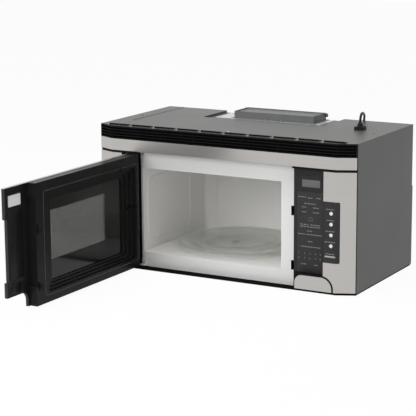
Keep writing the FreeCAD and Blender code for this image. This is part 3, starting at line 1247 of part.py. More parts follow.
# ---- fasteners that show: one group of separate screws ----


def screws():
    head = 3.2
    rise = 1.4
    group = [rod(0, 46, CABINET_HEIGHT, head, rise)]
    for z in (ARM_TOP_Z + HINGE_ARM - 8, ARM_LOW_Z - HINGE_ARM + 8):
        group.append(rod((PLATE_LEFT + FOOT_RIGHT) / 2, PLATE_DEPTH - SHEET - rise, z, head, rise, BACK))
    level = WELL_FLOOR + EXHAUST_PLATE
    for x in (PLATE_EDGE_LEFT + 12, PLATE_EDGE_RIGHT - 12):
        for depth in (PLATE_EDGE_FRONT + 12, BACK_INNER - 14):
            group.append(rod(x, depth, level, head, rise))
    for x in (-SIDE_INNER + 20, SIDE_INNER - 20):
        for z in (BASE_STRIP + WALL_PLATE_HEIGHT + 24, TOP_UNDER - 20):
            group.append(rod(x, CABINET_DEPTH, z, head, rise, BACK))
    return Part.makeCompound(group)


PIECES["screws"] = screws()

# ---- mains cord: strain relief, free cord, coil and plug ----
RELIEF_HALF = 13.0
RELIEF_HEIGHT = 9.0
BOOT_TOP = 19.0
CORD_RADIUS = CORD_DIAMETER / 2
COIL_X = CORD_HOLE_X - 109.0
COIL_DEPTH = CABINET_DEPTH + 86.0
LAYER_ONE = CORD_RADIUS
LAYER_TWO = CORD_RADIUS + COIL_LAYER
COIL_LEAD = 7.0
CORD_END = (COIL_X + COIL_RADIUS, COIL_DEPTH - COIL_LEAD, CORD_RADIUS)
PLUG_LENGTH = 34.0
PLUG_WIDTH = 26.0
PLUG_HALF_HEIGHT = LAYER_TWO - 0.3


def strain_relief():
    base = prism(rectangle(CORD_HOLE_X - RELIEF_HALF, CORD_HOLE_X + RELIEF_HALF, CORD_HOLE_DEPTH - RELIEF_HALF,
                           CORD_HOLE_DEPTH + RELIEF_HALF, 4), CABINET_HEIGHT, CABINET_HEIGHT + RELIEF_HEIGHT, "plan")
    boot = Part.makeCone(8.5, CORD_RADIUS + 1.5, BOOT_TOP - RELIEF_HEIGHT,
                         at(CORD_HOLE_X, CORD_HOLE_DEPTH, CABINET_HEIGHT + RELIEF_HEIGHT))
    neck = rod(CORD_HOLE_X, CORD_HOLE_DEPTH, CABINET_HEIGHT - 12, CORD_HOLE - 0.3, 14)
    return join([base, boot, neck])


# Route of the free cord: x, depth, height. It rises from the boot, bends over the back edge and
# hangs behind the cabinet to the floor.
CORD_ROUTE = [(CORD_HOLE_X, CORD_HOLE_DEPTH, CABINET_HEIGHT + BOOT_TOP)]
for left, back, rise in ((0, 0, 27.5), (0.5, 5, 36), (2.5, 14, 40.8), (8, 33, 39.5), (17, 60, 34),
                         (37, 112, 21), (58, 158, 3), (66, 167, -39), (70, 169, -114),
                         (71.5, 169.5, -194), (71, 169.5, -269), (70, 170, -311)):
    CORD_ROUTE.append((CORD_HOLE_X - left, CORD_HOLE_DEPTH + back, CABINET_HEIGHT + rise))
for ahead, height in ((57, 42), (46, 18), (26, CORD_RADIUS), (0, CORD_RADIUS)):
    CORD_ROUTE.append((CORD_END[0], CORD_END[1] - ahead, height))


def tube(points):
    """Round cord along straight runs joined by arcs as large as the runs allow."""
    corners = [at(*point) for point in points]
    edges = []
    radii = []
    start = corners[0]
    for index in range(1, len(corners) - 1):
        here = corners[index]
        arriving = here - corners[index - 1]
        leaving = corners[index + 1] - here
        turn = arriving.getAngle(leaving)
        reach = 0.45 * min(arriving.Length, leaving.Length)
        radius = reach / math.tan(turn / 2)
        first = here - arriving.normalize() * reach
        last = here + leaving.normalize() * reach
        inward = (first + last - here * 2).normalize()
        middle = here + inward * (radius / math.cos(turn / 2) - radius)
        edges.append(Part.LineSegment(start, first).toShape())
        edges.append(Part.Arc(first, middle, last).toShape())
        radii.append(radius)
        start = last
    edges.append(Part.LineSegment(start, corners[-1]).toShape())
    path = Part.Wire(edges)
    length = path.Length
    direction = corners[1] - corners[0]
    profile = Part.Wire(Part.makeCircle(CORD_RADIUS, corners[0], direction))
    solid = path.makePipeShell([profile], True, False)
    expected = math.pi * CORD_RADIUS ** 2 * length
    print("cord length %.1f, radii %s" % (length, " ".join("%.0f" % radius for radius in radii)))
    print("cord volume over section times length %.5f" % (solid.Volume / expected))
    return solid, length


def coil_point(angle, height):
    turned = math.radians(angle)
    return at(COIL_X + COIL_RADIUS * math.cos(turned), COIL_DEPTH + COIL_RADIUS * math.sin(turned), height)


def coil_arc(start, end, low, high):
    """Arc of the coil; the climbing half turn lies in a tilted plane, so its ends stay level."""
    middle = coil_point((start + end) / 2, (low + high) / 2)
    return Part.Arc(coil_point(start, low), middle, coil_point(end, high)).toShape()


def cord_coil():
    climb_end = COIL_CLIMB_ANGLE + 180
    entry = coil_point(COIL_START_ANGLE, LAYER_ONE)
    leave = coil_point(COIL_END_ANGLE, LAYER_TWO)
    finish = leave - RIGHT * COIL_TAIL
    quarter = COIL_CLIMB_ANGLE - 90
    edges = [
        Part.LineSegment(at(*CORD_END), entry).toShape(),
        coil_arc(COIL_START_ANGLE, 90, LAYER_ONE, LAYER_ONE),
        coil_arc(90, 90 + quarter, LAYER_ONE, LAYER_ONE),
        coil_arc(COIL_CLIMB_ANGLE, climb_end, LAYER_ONE, LAYER_TWO),
        coil_arc(climb_end, 360, LAYER_TWO, LAYER_TWO),
        coil_arc(360, COIL_END_ANGLE, LAYER_TWO, LAYER_TWO),
        Part.LineSegment(leave, finish).toShape(),
    ]
    path = Part.Wire(edges)
    profile = Part.Wire(Part.makeCircle(CORD_RADIUS, at(*CORD_END), BACK))
    solid = path.makePipeShell([profile], True, False)
    expected = math.pi * CORD_RADIUS ** 2 * path.Length
    print("coil length %.1f, volume over section times length %.5f" % (path.Length, solid.Volume / expected))
    samples = path.discretize(Number=400)
    spacing = path.Length / 399
    skip = int(8 * CORD_RADIUS / spacing)
    nearest = min((samples[i] - samples[j]).Length
                  for i in range(len(samples)) for j in range(i + skip, len(samples)))
    print("coil least gap to itself %.2f" % (nearest - CORD_DIAMETER))
    return solid, path.Length


def power_plug():
    """Three pin plug lying beside the coil, blades pointing left."""
    end = COIL_X - COIL_TAIL - 0.05
    half = PLUG_WIDTH / 2
    side = COIL_DEPTH + COIL_RADIUS
    body = prism([(end, side - 5), (end, side + 5), (end - 8, side + half, 2), (end - PLUG_LENGTH, side + half),
                  (end - PLUG_LENGTH, side - half), (end - 8, side - half, 2)],
                 LAYER_TWO - PLUG_HALF_HEIGHT, LAYER_TWO + PLUG_HALF_HEIGHT, "plan")
    tip = end - PLUG_LENGTH
    parts = [body]
    for offset in (-6.35, 6.35):
        parts.append(block(tip - 17.5, tip + 1, side + offset - 0.75, side + offset + 0.75,
                           LAYER_TWO - 1.0, LAYER_TWO + 5.4))
    parts.append(rod(tip - 20, side, LAYER_TWO - 6.0, 2.35, 21, RIGHT))
    return join(parts)


cord_solid, cord_length = tube(CORD_ROUTE)
coil_solid, coil_length = cord_coil()
print("whole cord %.0f" % (cord_length + coil_length))
PIECES["strain_relief"] = strain_relief()
PIECES["power_cord"] = cord_solid
PIECES["cord_coil"] = coil_solid
PIECES["power_plug"] = power_plug()

os.makedirs("parts", exist_ok=True)
for name, shape in PIECES.items():
    valid = shape.isValid()
    if not valid or shape.Volume <= 0:
        print("check", name, valid, shape.Volume)
    shape.exportStep("parts/%s.step" % name)
print(len(PIECES), "pieces")
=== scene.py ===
import bpy
import bmesh
import math
from mathutils import Matrix, Vector


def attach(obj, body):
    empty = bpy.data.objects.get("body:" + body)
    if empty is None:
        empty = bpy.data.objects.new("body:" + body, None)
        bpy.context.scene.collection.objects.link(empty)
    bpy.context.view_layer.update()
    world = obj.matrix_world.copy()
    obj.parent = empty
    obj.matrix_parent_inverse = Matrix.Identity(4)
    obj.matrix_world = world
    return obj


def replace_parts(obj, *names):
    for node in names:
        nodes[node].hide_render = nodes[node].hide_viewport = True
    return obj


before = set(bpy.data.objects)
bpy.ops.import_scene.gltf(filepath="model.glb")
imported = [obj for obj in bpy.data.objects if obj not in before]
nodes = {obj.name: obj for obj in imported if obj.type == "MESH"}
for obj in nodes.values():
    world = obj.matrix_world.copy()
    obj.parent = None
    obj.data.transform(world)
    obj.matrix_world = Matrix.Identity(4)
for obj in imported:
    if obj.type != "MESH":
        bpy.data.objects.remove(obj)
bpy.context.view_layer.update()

# ---------------------------------------------------------------------------
# Camera. It stands to the right of the oven and looks slightly down, as the photograph does.
# The three directions are the camera's own right, up and backward axes.
view_right = (0.87113, 0.49115, -0.00652)
view_up = (-0.09589, 0.18308, 0.97843)
view_back = (0.4817, -0.85166, 0.2065)
view_stand = (1.919, -3.649, 1.029)
camera_data = bpy.data.cameras.new("camera")
camera_data.lens = 133.76
camera_data.sensor_width = 36.0
camera = bpy.data.objects.new("camera", camera_data)
bpy.context.scene.collection.objects.link(camera)
camera.matrix_world = Matrix([*zip(view_right, view_up, view_back, view_stand), (0.0, 0.0, 0.0, 1.0)])
bpy.context.scene.camera = camera
bpy.context.scene.view_settings.view_transform = "Standard"

# ---------------------------------------------------------------------------
# Mains cord. A black vinyl lead leaves the boot on the top, bends over the back edge, hangs
# behind the cabinet and ends in one neat coil on the floor with the plug beside it.
cord_diameter = 0.0066
front_y = -0.194
cord_exit = (0.291, 0.238, 0.408)
cord_route = [cord_exit, (0.291, 0.238, 0.4165), (0.2905, 0.243, 0.425), (0.2885, 0.252, 0.4298),
              (0.283, 0.271, 0.4285), (0.274, 0.298, 0.423), (0.254, 0.350, 0.410),
              (0.233, 0.396, 0.392), (0.225, 0.405, 0.350), (0.221, 0.407, 0.275),
              (0.2195, 0.4075, 0.195), (0.220, 0.4075, 0.120), (0.221, 0.408, 0.078),
              (0.222, 0.410, 0.042), (0.222, 0.421, 0.018), (0.222, 0.441, 0.0033), (0.222, 0.467, 0.0033)]
coil_x = 0.182
coil_depth = 0.474
coil_radius = 0.0414
first_layer = 0.0033
layer_rise = 0.0076
climb_start, climb_end = 140, 320
for degrees in range(15, 450, 30):
    bearing = math.radians(degrees)
    climbed = min(max(degrees, climb_start), climb_end) - climb_start
    height = first_layer + layer_rise * (1 - math.cos(math.radians(climbed))) / 2
    cord_route.append((coil_x + coil_radius * math.cos(bearing),
                       coil_depth + coil_radius * math.sin(bearing), height))
plug_mouth = (coil_x - 0.034, coil_depth + 0.040, first_layer + layer_rise)
cord_route.append(plug_mouth)

cord_curve = bpy.data.curves.new("mains_cord", "CURVE")
cord_curve.dimensions = "3D"
cord_spline = cord_curve.splines.new("NURBS")
cord_spline.points.add(len(cord_route) - 1)
for point, (x, depth, z) in zip(cord_spline.points, cord_route):
    point.co = (x, front_y + depth, z, 1.0)
    point.radius = cord_diameter / 2
cord_spline.order_u = 3
cord_spline.use_endpoint_u = True
cord_curve.resolution_u = 12
cord_curve.bevel_depth = 1.0
cord_curve.bevel_resolution = 5
mains_cord = bpy.data.objects.new("mains_cord", cord_curve)
bpy.context.scene.collection.objects.link(mains_cord)
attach(mains_cord, "cabinet")
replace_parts(mains_cord, "power_cord", "cord_coil")


class Wire:
    """A socket in a finish's node tree. Arithmetic adds Math nodes and node() adds any other node."""

    def __init__(self, tree, socket=None):
        self.tree = tree
        self.socket = socket

    def node(self, kind, settings=None, inputs=None, output=0):
        made = self.tree.nodes.new("ShaderNode" + kind)
        for key, value in (settings or {}).items():
            if key == "stops":
                ramp = made.color_ramp
                while len(ramp.elements) < len(value):
                    ramp.elements.new(0.5)
                for stop, (place, tone) in zip(ramp.elements, value):
                    stop.position = place
                    stop.color = (tone, tone, tone, 1.0)
            else:
                setattr(made, key, value)
        for key, value in (inputs or {}).items():
            if isinstance(value, Wire):
                self.tree.links.new(value.socket, made.inputs[key])
            else:
                made.inputs[key].default_value = value
        return Wire(self.tree, made.outputs[output])

    def math(self, operation, first, second=0.0):
        return self.node("Math", {"operation": operation}, {0: first, 1: second})

    def __add__(self, other):
        return self.math("ADD", self, other)

    def __mul__(self, other):
        return self.math("MULTIPLY", self, other)

    def __sub__(self, other):
        return self.math("SUBTRACT", self, other)

    def __rsub__(self, other):
        return self.math("SUBTRACT", other, self)

    __radd__ = __add__
    __rmul__ = __mul__


def start_finish(name, color, roughness, metallic=0.0, **constants):
    """A finish with a plain shader; what varies over the surface is wired in afterwards."""
    finish = bpy.data.materials.new(name)
    finish.use_nodes = True
    finish.diffuse_color = (*color, 1.0)
    shader = finish.node_tree.nodes["Principled BSDF"]
    shader.inputs["Base Color"].default_value = (*color, 1.0)
    shader.inputs["Roughness"].default_value = roughness
    shader.inputs["Metallic"].default_value = metallic
    for key, value in constants.items():
        shader.inputs[key.replace("_", " ")].default_value = value
    return finish, Wire(finish.node_tree)


def feed(finish, **sources):
    shader = finish.node_tree.nodes["Principled BSDF"]
    for key, wire in sources.items():
        finish.node_tree.links.new(wire.socket, shader.inputs[key.replace("_", " ")])


def place(wire, stretch=(1.0, 1.0, 1.0)):
    """Position on the piece in metres, stretched along each axis."""
    here = wire.node("TexCoord", output=3)
    return wire.node("Mapping", {}, {"Vector": here, "Scale": stretch})


def grain(wire, scale, detail=3.0, stretch=(1.0, 1.0, 1.0)):
    return wire.node("TexNoise", {}, {"Vector": place(wire, stretch), "Scale": scale, "Detail": detail})


def tint(wire, mask, low, high):
    """Colour that runs from low to high as the mask runs from 0 to 1."""
    return wire.node("Mix", {"data_type": "RGBA"}, {0: mask, 6: (*low, 1.0), 7: (*high, 1.0)}, 2)


def shades(wire, mask, color, spread):
    """One colour, a little darker where the mask is 0 and lighter where it is 1."""
    darker = tuple(part * (1 - spread) for part in color)
    lighter = tuple(part * (1 + spread) for part in color)
    return tint(wire, mask, darker, lighter)


def bump(wire, height, distance, strength=1.0):
    return wire.node("Bump", {}, {"Height": height, "Distance": distance, "Strength": strength})


vinyl_black = (0.015, 0.0145, 0.0145)
vinyl, wire = start_finish("black_vinyl", vinyl_black, 0.42, Specular_IOR_Level=0.15)
scuffs = grain(wire, 220.0)
feed(vinyl, Base_Color=shades(wire, scuffs, vinyl_black, 0.35), Roughness=0.34 + scuffs * 0.16,
     Normal=bump(wire, grain(wire, 900.0), 0.0002))
mains_cord.data.materials.append(vinyl)


def dress(finish, *names, soften=0.0):
    """Puts a finish on CAD nodes, and takes the sharpness off their edges by this many millimetres."""
    for name in names:
        for held in nodes[name].material_slots:
            held.material = finish
        if soften:
            weld = nodes[name].modifiers.new("weld", "WELD")
            weld.merge_threshold = 0.00001
            edge = nodes[name].modifiers.new("soft_edges", "BEVEL")
            edge.width = soften / 1000
            edge.segments = 2
            edge.limit_method = "ANGLE"
            edge.angle_limit = math.radians(40)
            edge.harden_normals = True


dress(vinyl, "power_plug", "strain_relief")

# ---------------------------------------------------------------------------
# Boot of the mains cord. Three moulded rings stand round the tapered vinyl boot, so that it bends
# with the lead instead of kinking it.


def spot(x, depth, z):
    """A place given in millimetres: across from the middle, back from the front, up from the floor."""
    return Vector((x / 1000, front_y + depth / 1000, z / 1000))


def turned(mesh, where, rings, sides=24):
    """A shape turned round its axis from rings of (radius, height). A radius may depend on the angle."""
    angles = [2 * math.pi * index / sides for index in range(sides)]
    loops = []
    for radius, height in rings:
        reach = [radius(angle) if callable(radius) else radius for angle in angles]
        loops.append([mesh.verts.new(where(far * math.cos(angle), height, far * math.sin(angle)))
                      for far, angle in zip(reach, angles)])
    for lower, upper in zip(loops, loops[1:]):
        for index in range(sides):
            after = (index + 1) % sides
            mesh.faces.new((lower[index], lower[after], upper[after], upper[index]))
    mesh.faces.new(list(reversed(loops[0])))
    mesh.faces.new(loops[-1])


def lay_out(name, body, finish, mesh, round_below=38):
    """Makes a piece of a finished bmesh, and says which body carries it."""
    bmesh.ops.recalc_face_normals(mesh, faces=mesh.faces[:])
    data = bpy.data.meshes.new(name)
    mesh.to_mesh(data)
    mesh.free()
    data.materials.append(finish)
    data.polygons.foreach_set("use_smooth", [True] * len(data.polygons))
    data.set_sharp_from_angle(angle=math.radians(round_below))
    piece = bpy.data.objects.new(name, data)
    bpy.context.scene.collection.objects.link(piece)
    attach(piece, body)
    return piece


boot_x, boot_depth, boot_top = 291.0, 238.0, 408.0
boot_tip, boot_taper = 4.8, 0.37


def on_boot(u, h, v):
    return spot(boot_x + u, boot_depth + v, boot_top + h)


boot_rings = bmesh.new()
for drop in (8.0, 5.4, 2.8):
    core = boot_tip + drop * boot_taper
    ring = [(core - 0.4, -drop - 0.7), (core + 0.6, -drop - 0.5),
            (core + 0.6, -drop + 0.5), (core - 0.4, -drop + 0.7)]
    turned(boot_rings, on_boot, ring)
lay_out("boot_rings", "cabinet", vinyl, boot_rings)

# ---------------------------------------------------------------------------
# Outer cover. One sheet of steel folded over both sides and the top, painted charcoal with a
# satin, slightly pebbled powder coat. A low seam runs back along the left of the top.
cover_grey = (0.062, 0.060, 0.058)
charcoal, wire = start_finish("charcoal_paint", cover_grey, 0.42, Specular_IOR_Level=0.45)
clouds = grain(wire, 6.0, 4.0)
pebbles = grain(wire, 520.0, 2.0)
feed(charcoal, Base_Color=shades(wire, clouds, cover_grey, 0.13),
     Roughness=0.36 + clouds * 0.12, Normal=bump(wire, pebbles, 0.00025, 0.5))
dress(charcoal, "outer_cover", soften=0.5)
cover_top = 389.0


def round_outline(left, right, low, high, corner, steps=5):
    """Corners of a rectangle, with its corners rounded off."""
    corner = max(min(corner, (right - left) / 2 - 0.01, (high - low) / 2 - 0.01), 0.01)
    outline = []
    for x, z, start in ((right - corner, low + corner, -90), (right - corner, high - corner, 0),
                        (left + corner, high - corner, 90), (left + corner, low + corner, 180)):
        for step in range(steps + 1):
            angle = math.radians(start + 90 * step / steps)
            outline.append((x + corner * math.cos(angle), z + corner * math.sin(angle)))
    return outline


def plate(mesh, where, outline, near, far, edge=0.2):
    """A flat piece of this outline between two depths, its near edge eased."""
    middle = Vector((sum(x for x, z in outline) / len(outline), sum(z for x, z in outline) / len(outline)))
    toward = 1 if far > near else -1
    loops = []
    for depth, inset in ((near, edge), (near + toward * edge, 0.0), (far, 0.0)):
        loop = []
        for x, z in outline:
            out = Vector((x, z)) - middle
            shrunk = middle + Vector((math.copysign(max(abs(out.x) - inset, 0), out.x),
                                      math.copysign(max(abs(out.y) - inset, 0), out.y)))
            loop.append(mesh.verts.new(where(shrunk.x, depth, shrunk.y)))
        loops.append(loop)
    for lower, upper in zip(loops, loops[1:]):
        for index in range(len(outline)):
            after = (index + 1) % len(outline)
            mesh.faces.new((lower[index], lower[after], upper[after], upper[index]))
    mesh.faces.new(list(reversed(loops[0])))
    mesh.faces.new(loops[-1])


def on_top(x, height, depth):
    """As spot(), for an outline drawn from above."""
    return spot(x, depth, height)


seam_left, seam_right = -334.0, -331.0
seam_front, seam_back = 109.0, 386.0
seam = bmesh.new()
plate(seam, on_top, round_outline(seam_left, seam_right, seam_front, seam_back, 1.2),
      cover_top + 0.9, cover_top - 0.2, 0.5)
lay_out("cover_seam", "cabinet", charcoal, seam)

# ---------------------------------------------------------------------------
# Screws. Pan heads with a cross recess, zinc plated: one at the front of the top, two on the
# hinge feet, four on the exhaust plate and four at the back. The capacitor's can and the latch
# spring have the same finish.
plated_grey = (0.56, 0.56, 0.54)
plated, wire = start_finish("zinc_plate", plated_grey, 0.32, 1.0)
wear = grain(wire, 150.0)
feed(plated, Base_Color=shades(wire, wear, plated_grey, 0.14), Roughness=0.26 + wear * 0.14)
dress(plated, "capacitor", "latch_spring")


def cross_recess(angle):
    """Distance from the middle to the edge of a cross in this direction."""
    folded = abs((angle + math.pi / 4) % (math.pi / 2) - math.pi / 4)
    return min(1.7 / math.cos(folded), 0.42 / max(math.sin(folded), 0.01))


pan_head = [(3.2, 0.0), (3.2, 0.45), (2.95, 0.95), (2.3, 1.32), (cross_recess, 1.4),
            (lambda angle: cross_recess(angle) * 0.85, 0.55)]


def upright(x, depth, level):
    """The place of a head that stands on a level sheet."""
    return lambda u, h, v: spot(x + u, depth + v, level + h)


def facing(x, z, face, toward):
    """The place of a head on an upright sheet: it faces the front (-1) or the back (1)."""
    return lambda u, h, v: spot(x + u, face + toward * h, z + v)


foot_face, exhaust_level, back_face = 33.8, 384.0, 388.0
seats = [upright(0.0, 46.0, cover_top)]
seats += [facing(-254.0, z, foot_face, -1) for z in (311.3, 12.2)]
seats += [upright(x, depth, exhaust_level) for x in (-160.0, 138.0) for depth in (297.0, 372.8)]
seats += [facing(x, z, back_face, 1) for x in (-358.55, 358.55) for z in (245.0, 367.8)]
screw_heads = bmesh.new()
for seat in seats:
    turned(screw_heads, seat, pan_head, 48)
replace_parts(lay_out("screw_heads", "cabinet", plated, screw_heads), "screws")

# ---------------------------------------------------------------------------
# Vent grille and its duct. The grille is a black moulding with louvres across the front. A folded
# black channel behind it closes off the inside under the slots of the cover.
grille_black = (0.009, 0.009, 0.009)
black, wire = start_finish("black_moulding", grille_black, 0.48, Specular_IOR_Level=0.05)
spark = grain(wire, 1400.0, 2.0)
feed(black, Base_Color=shades(wire, grain(wire, 30.0), grille_black, 0.3),
     Roughness=0.42 + spark * 0.14, Normal=bump(wire, spark, 0.0001, 0.5))
dress(black, "vent_grille", "left_post", soften=0.3)
dress(black, "control_housing", "interlock")
duct_half, duct_end = 332.0, 366.0
duct_front, duct_corner, duct_back = 12.0, 27.5, 33.4
duct_low, duct_high = 356.5, 386.6
duct_sheet = 0.8
duct_floor = [(-duct_end, duct_corner), (-duct_half, duct_front), (duct_half, duct_front),
              (duct_end, duct_corner), (duct_end, duct_back), (-duct_end, duct_back)]
duct_wall = [(-duct_end, duct_low), (duct_end, duct_low), (duct_end, duct_high), (-duct_end, duct_high)]
duct = bmesh.new()
plate(duct, on_top, duct_floor, duct_low + duct_sheet, duct_low)
plate(duct, spot, duct_wall, duct_back, duct_back + duct_sheet)
lay_out("grille_duct", "cabinet", black, duct)

# ---------------------------------------------------------------------------
# Air slots of the cover. Behind the front rim each slot has a low hood pressed up out of the sheet,
# open to the front. A black plate in the mouth of each hood is painted shade for its shadowed inside.
slot_count = 10
slot_pitch = 71.0
slot_length = 58.0
hood_rise = 4.6
hood_front, hood_back = 17.0, 34.0
crown = cover_top + hood_rise
rooted = cover_top - 0.3
hood_roof = [(hood_back, rooted), (hood_back, cover_top + 0.1),
             (hood_front, crown), (hood_front, crown - 0.5)]
hood_cheek = [(hood_back, rooted), (hood_front, crown - 0.1), (hood_front, rooted)]
cheek_sheet = 0.8


def side_on(depth, x, z):
    """As spot(), for an outline drawn from the side."""
    return spot(x, depth, z)


hoods = bmesh.new()
# Painted shade: a black plate stands in each hood's mouth, where the inside lies in shadow.
slot_shade = bmesh.new()
for index in range(slot_count):
    middle = (index - (slot_count - 1) / 2) * slot_pitch
    left, right = middle - slot_length / 2 - 1.0, middle + slot_length / 2 + 1.0
    plate(hoods, side_on, hood_roof, left, right, 0.1)
    for x in (left, right - cheek_sheet):
        plate(hoods, side_on, hood_cheek, x, x + cheek_sheet, 0.1)
    strip = [(left + 1, cover_top - 1.1), (right - 1, cover_top - 1.1),
             (right - 1, crown - 0.6), (left + 1, crown - 0.6)]
    plate(slot_shade, spot, strip, hood_front + 0.2, hood_front + 0.7, 0.1)
lay_out("slot_hoods", "cabinet", charcoal, hoods)
lay_out("slot_shade_plates", "cabinet", black, slot_shade)

# ---------------------------------------------------------------------------
# Base. The pan under the cabinet and the ledge at its front are folded steel, fastened to the
# sides from below and sprayed dead matt black.
base_black = (0.008, 0.008, 0.008)
base_paint, wire = start_finish("base_paint", base_black, 0.7, Specular_IOR_Level=0.0)
mottle = grain(wire, 90.0)
feed(base_paint, Base_Color=shades(wire, mottle, base_black, 0.3),
     Normal=bump(wire, grain(wire, 600.0), 0.0002, 0.4))
dress(base_paint, "base_plate", "bottom_sill", soften=0.3)

# ---------------------------------------------------------------------------
# Steel front. Folded stainless sheets with a fine level brush run across the whole front: the
# band under the grille, both pillars, the skin of the door and the small arch.
steel_grey = (0.50, 0.485, 0.465)
stainless, wire = start_finish("brushed_stainless", steel_grey, 0.30, 1.0,
                               Anisotropic=0.85, Anisotropic_Rotation=0.25)
brushed = grain(wire, 1.0, 4.0, (5.0, 5.0, 900.0))
streaks = grain(wire, 1.0, 2.0, (2.5, 2.5, 120.0))
feed(stainless, Base_Color=shades(wire, brushed, steel_grey, 0.10),
     Roughness=0.22 + brushed * 0.09 + streaks * 0.09, Normal=bump(wire, brushed, 0.00006, 0.5))
dress(stainless, "steel_band", "left_pillar", "right_pillar", "arch_trim", soften=0.25)

# ---------------------------------------------------------------------------
# White front plate and hinges. The steel plate round the oven's mouth is sprayed glossy white, with
# a very slight orange peel. The hinge feet above and below the door are finished alike.
plate_white = (0.70, 0.70, 0.69)
white, wire = start_finish("white_enamel", plate_white, 0.28, Coat_Weight=0.3, Coat_Roughness=0.1)
peel = grain(wire, 260.0, 2.0)
feed(white, Base_Color=shades(wire, grain(wire, 8.0), plate_white, 0.03),
     Roughness=0.24 + peel * 0.1, Normal=bump(wire, peel, 0.0001, 0.4))
dress(white, "front_plate", "hinge_brackets", soften=0.3)

# ---------------------------------------------------------------------------
# Oven cavity. A welded box enamelled in a warm light grey. A pressed rib frames its left wall, and
# the back wall has a shallow panel.
oven_white = (0.84, 0.83, 0.81)
enamel, wire = start_finish("cavity_enamel", oven_white, 0.36)
peel = grain(wire, 300.0, 2.0)
feed(enamel, Base_Color=shades(wire, grain(wire, 10.0), oven_white, 0.03),
     Roughness=0.30 + peel * 0.12, Normal=bump(wire, peel, 0.0001, 0.5))
dress(enamel, "cavity_shell")


def bead(mesh, where, outline, depth, radius, sides=10):
    """A round bar that follows a closed outline at one depth, half of it proud of that depth."""
    count = len(outline)
    loops = []
    for index, (x, z) in enumerate(outline):
        before = Vector(outline[index - 1])
        after = Vector(outline[(index + 1) % count])
        along = (after - before).normalized()
        side = Vector((along.y, -along.x))
        loop = []
        for step in range(sides):
            angle = 2 * math.pi * step / sides
            out = side * radius * math.cos(angle)
            loop.append(mesh.verts.new(where(x + out.x, depth + radius * math.sin(angle), z + out.y)))
        loops.append(loop)
    for index in range(count):
        here, ahead = loops[index], loops[(index + 1) % count]
        for step in range(sides):
            after = (step + 1) % sides
            mesh.faces.new((here[step], here[after], ahead[after], ahead[step]))


cavity_left = -256.0
rib_front, rib_back = 58.0, 286.0
rib_low, rib_high = 66.0, 242.0
wall_rib = bmesh.new()
bead(wall_rib, side_on, round_outline(rib_front, rib_back, rib_low, rib_high, 18.0), cavity_left, 1.3)
lay_out("cavity_wall_rib", "cabinet", enamel, wall_rib, 60)

# ---------------------------------------------------------------------------
# Waveguide cover. A sheet of pressed mica, cut to size, keeps splashes out of the port that the
# microwaves come through. Its layers are flaky and pearly.
mica_tan = (0.53, 0.48, 0.41)
mica, wire = start_finish("mica_sheet", mica_tan, 0.45)
flakes = wire.node("TexVoronoi", {}, {"Vector": place(wire), "Scale": 260.0}, 1)
shade = wire.node("RGBToBW", {}, {"Color": flakes})
feed(mica, Base_Color=shades(wire, shade, mica_tan, 0.14), Roughness=0.35 + shade * 0.25)
dress(mica, "waveguide_cover")

# ---------------------------------------------------------------------------
# Galvanised sheet. Rear panel, exhaust plate and the ducts inside keep their spangled zinc. Three
# rivets hold the flange of the collar along its front. The wall plate behind is painted as the cover.
zinc_grey = (0.63, 0.64, 0.65)
zinc, wire = start_finish("galvanised_sheet", zinc_grey, 0.42, 0.85)
spangle = wire.node("TexVoronoi", {}, {"Vector": place(wire), "Scale": 90.0}, 1)
shade = wire.node("RGBToBW", {}, {"Color": spangle})
feed(zinc, Base_Color=shades(wire, shade, zinc_grey, 0.11), Roughness=0.34 + shade * 0.18)
dress(zinc, "rear_panel", "exhaust_plate", "waveguide", "fan_motor", "blower_housings",
      "blower_wheels", "turntable_motor")
dress(charcoal, "wall_plate")
rivets = bmesh.new()
for x in (-24.0, 0.0, 26.0):
    turned(rivets, upright(x, 298.5, exhaust_level + 0.8), [(2.2, -0.2), (2.2, 0.2), (1.7, 0.8), (0.8, 1.1)])
lay_out("collar_rivets", "cabinet", zinc, rivets)

# ---------------------------------------------------------------------------
# Exhaust collar and damper. The short duct spigot and its flap are steel sprayed dull grey, with
# two folded ears on the back of the collar and a pressed rib round the flap.
collar_grey = (0.14, 0.143, 0.143)
grey, wire = start_finish("adapter_grey", collar_grey, 0.5, Specular_IOR_Level=0.35)
dust = grain(wire, 40.0, 4.0)
feed(grey, Base_Color=shades(wire, dust, collar_grey, 0.16), Roughness=0.44 + dust * 0.12)
dress(grey, "exhaust_collar", "damper_flap", soften=0.2)
ear_low, ear_high = 392.5, 402.5
ear_face, ear_back = 378.0, 379.2
ears = bmesh.new()
for x in (-119.0, 125.0):
    side = math.copysign(1, x)
    left, right = sorted((x - side * 1.0, x + side * 7.5))
    plate(ears, spot, round_outline(left, right, ear_low, ear_high, 2.0), ear_face, ear_back)
lay_out("collar_ears", "cabinet", grey, ears)
flap_rib = bmesh.new()
bead(flap_rib, on_top, round_outline(-105.0, 111.0, 313.0, 362.0, 8.0), 400.2, 0.9)
lay_out("damper_rib", "damper", grey, flap_rib, 60)

# ---------------------------------------------------------------------------
# Power parts. Magnetron, transformer and blower motor are bolted down inside the cabinet. Their
# cores are stacks of thin steel laminations under brown varnish.
varnish_brown = (0.08, 0.072, 0.066)
varnish, wire = start_finish("varnished_core", varnish_brown, 0.5, 0.3)
layers = grain(wire, 1.0, 2.0, (30.0, 900.0, 30.0))
feed(varnish, Base_Color=shades(wire, layers, varnish_brown, 0.4))
dress(varnish, "magnetron", "transformer", "blower_motor")

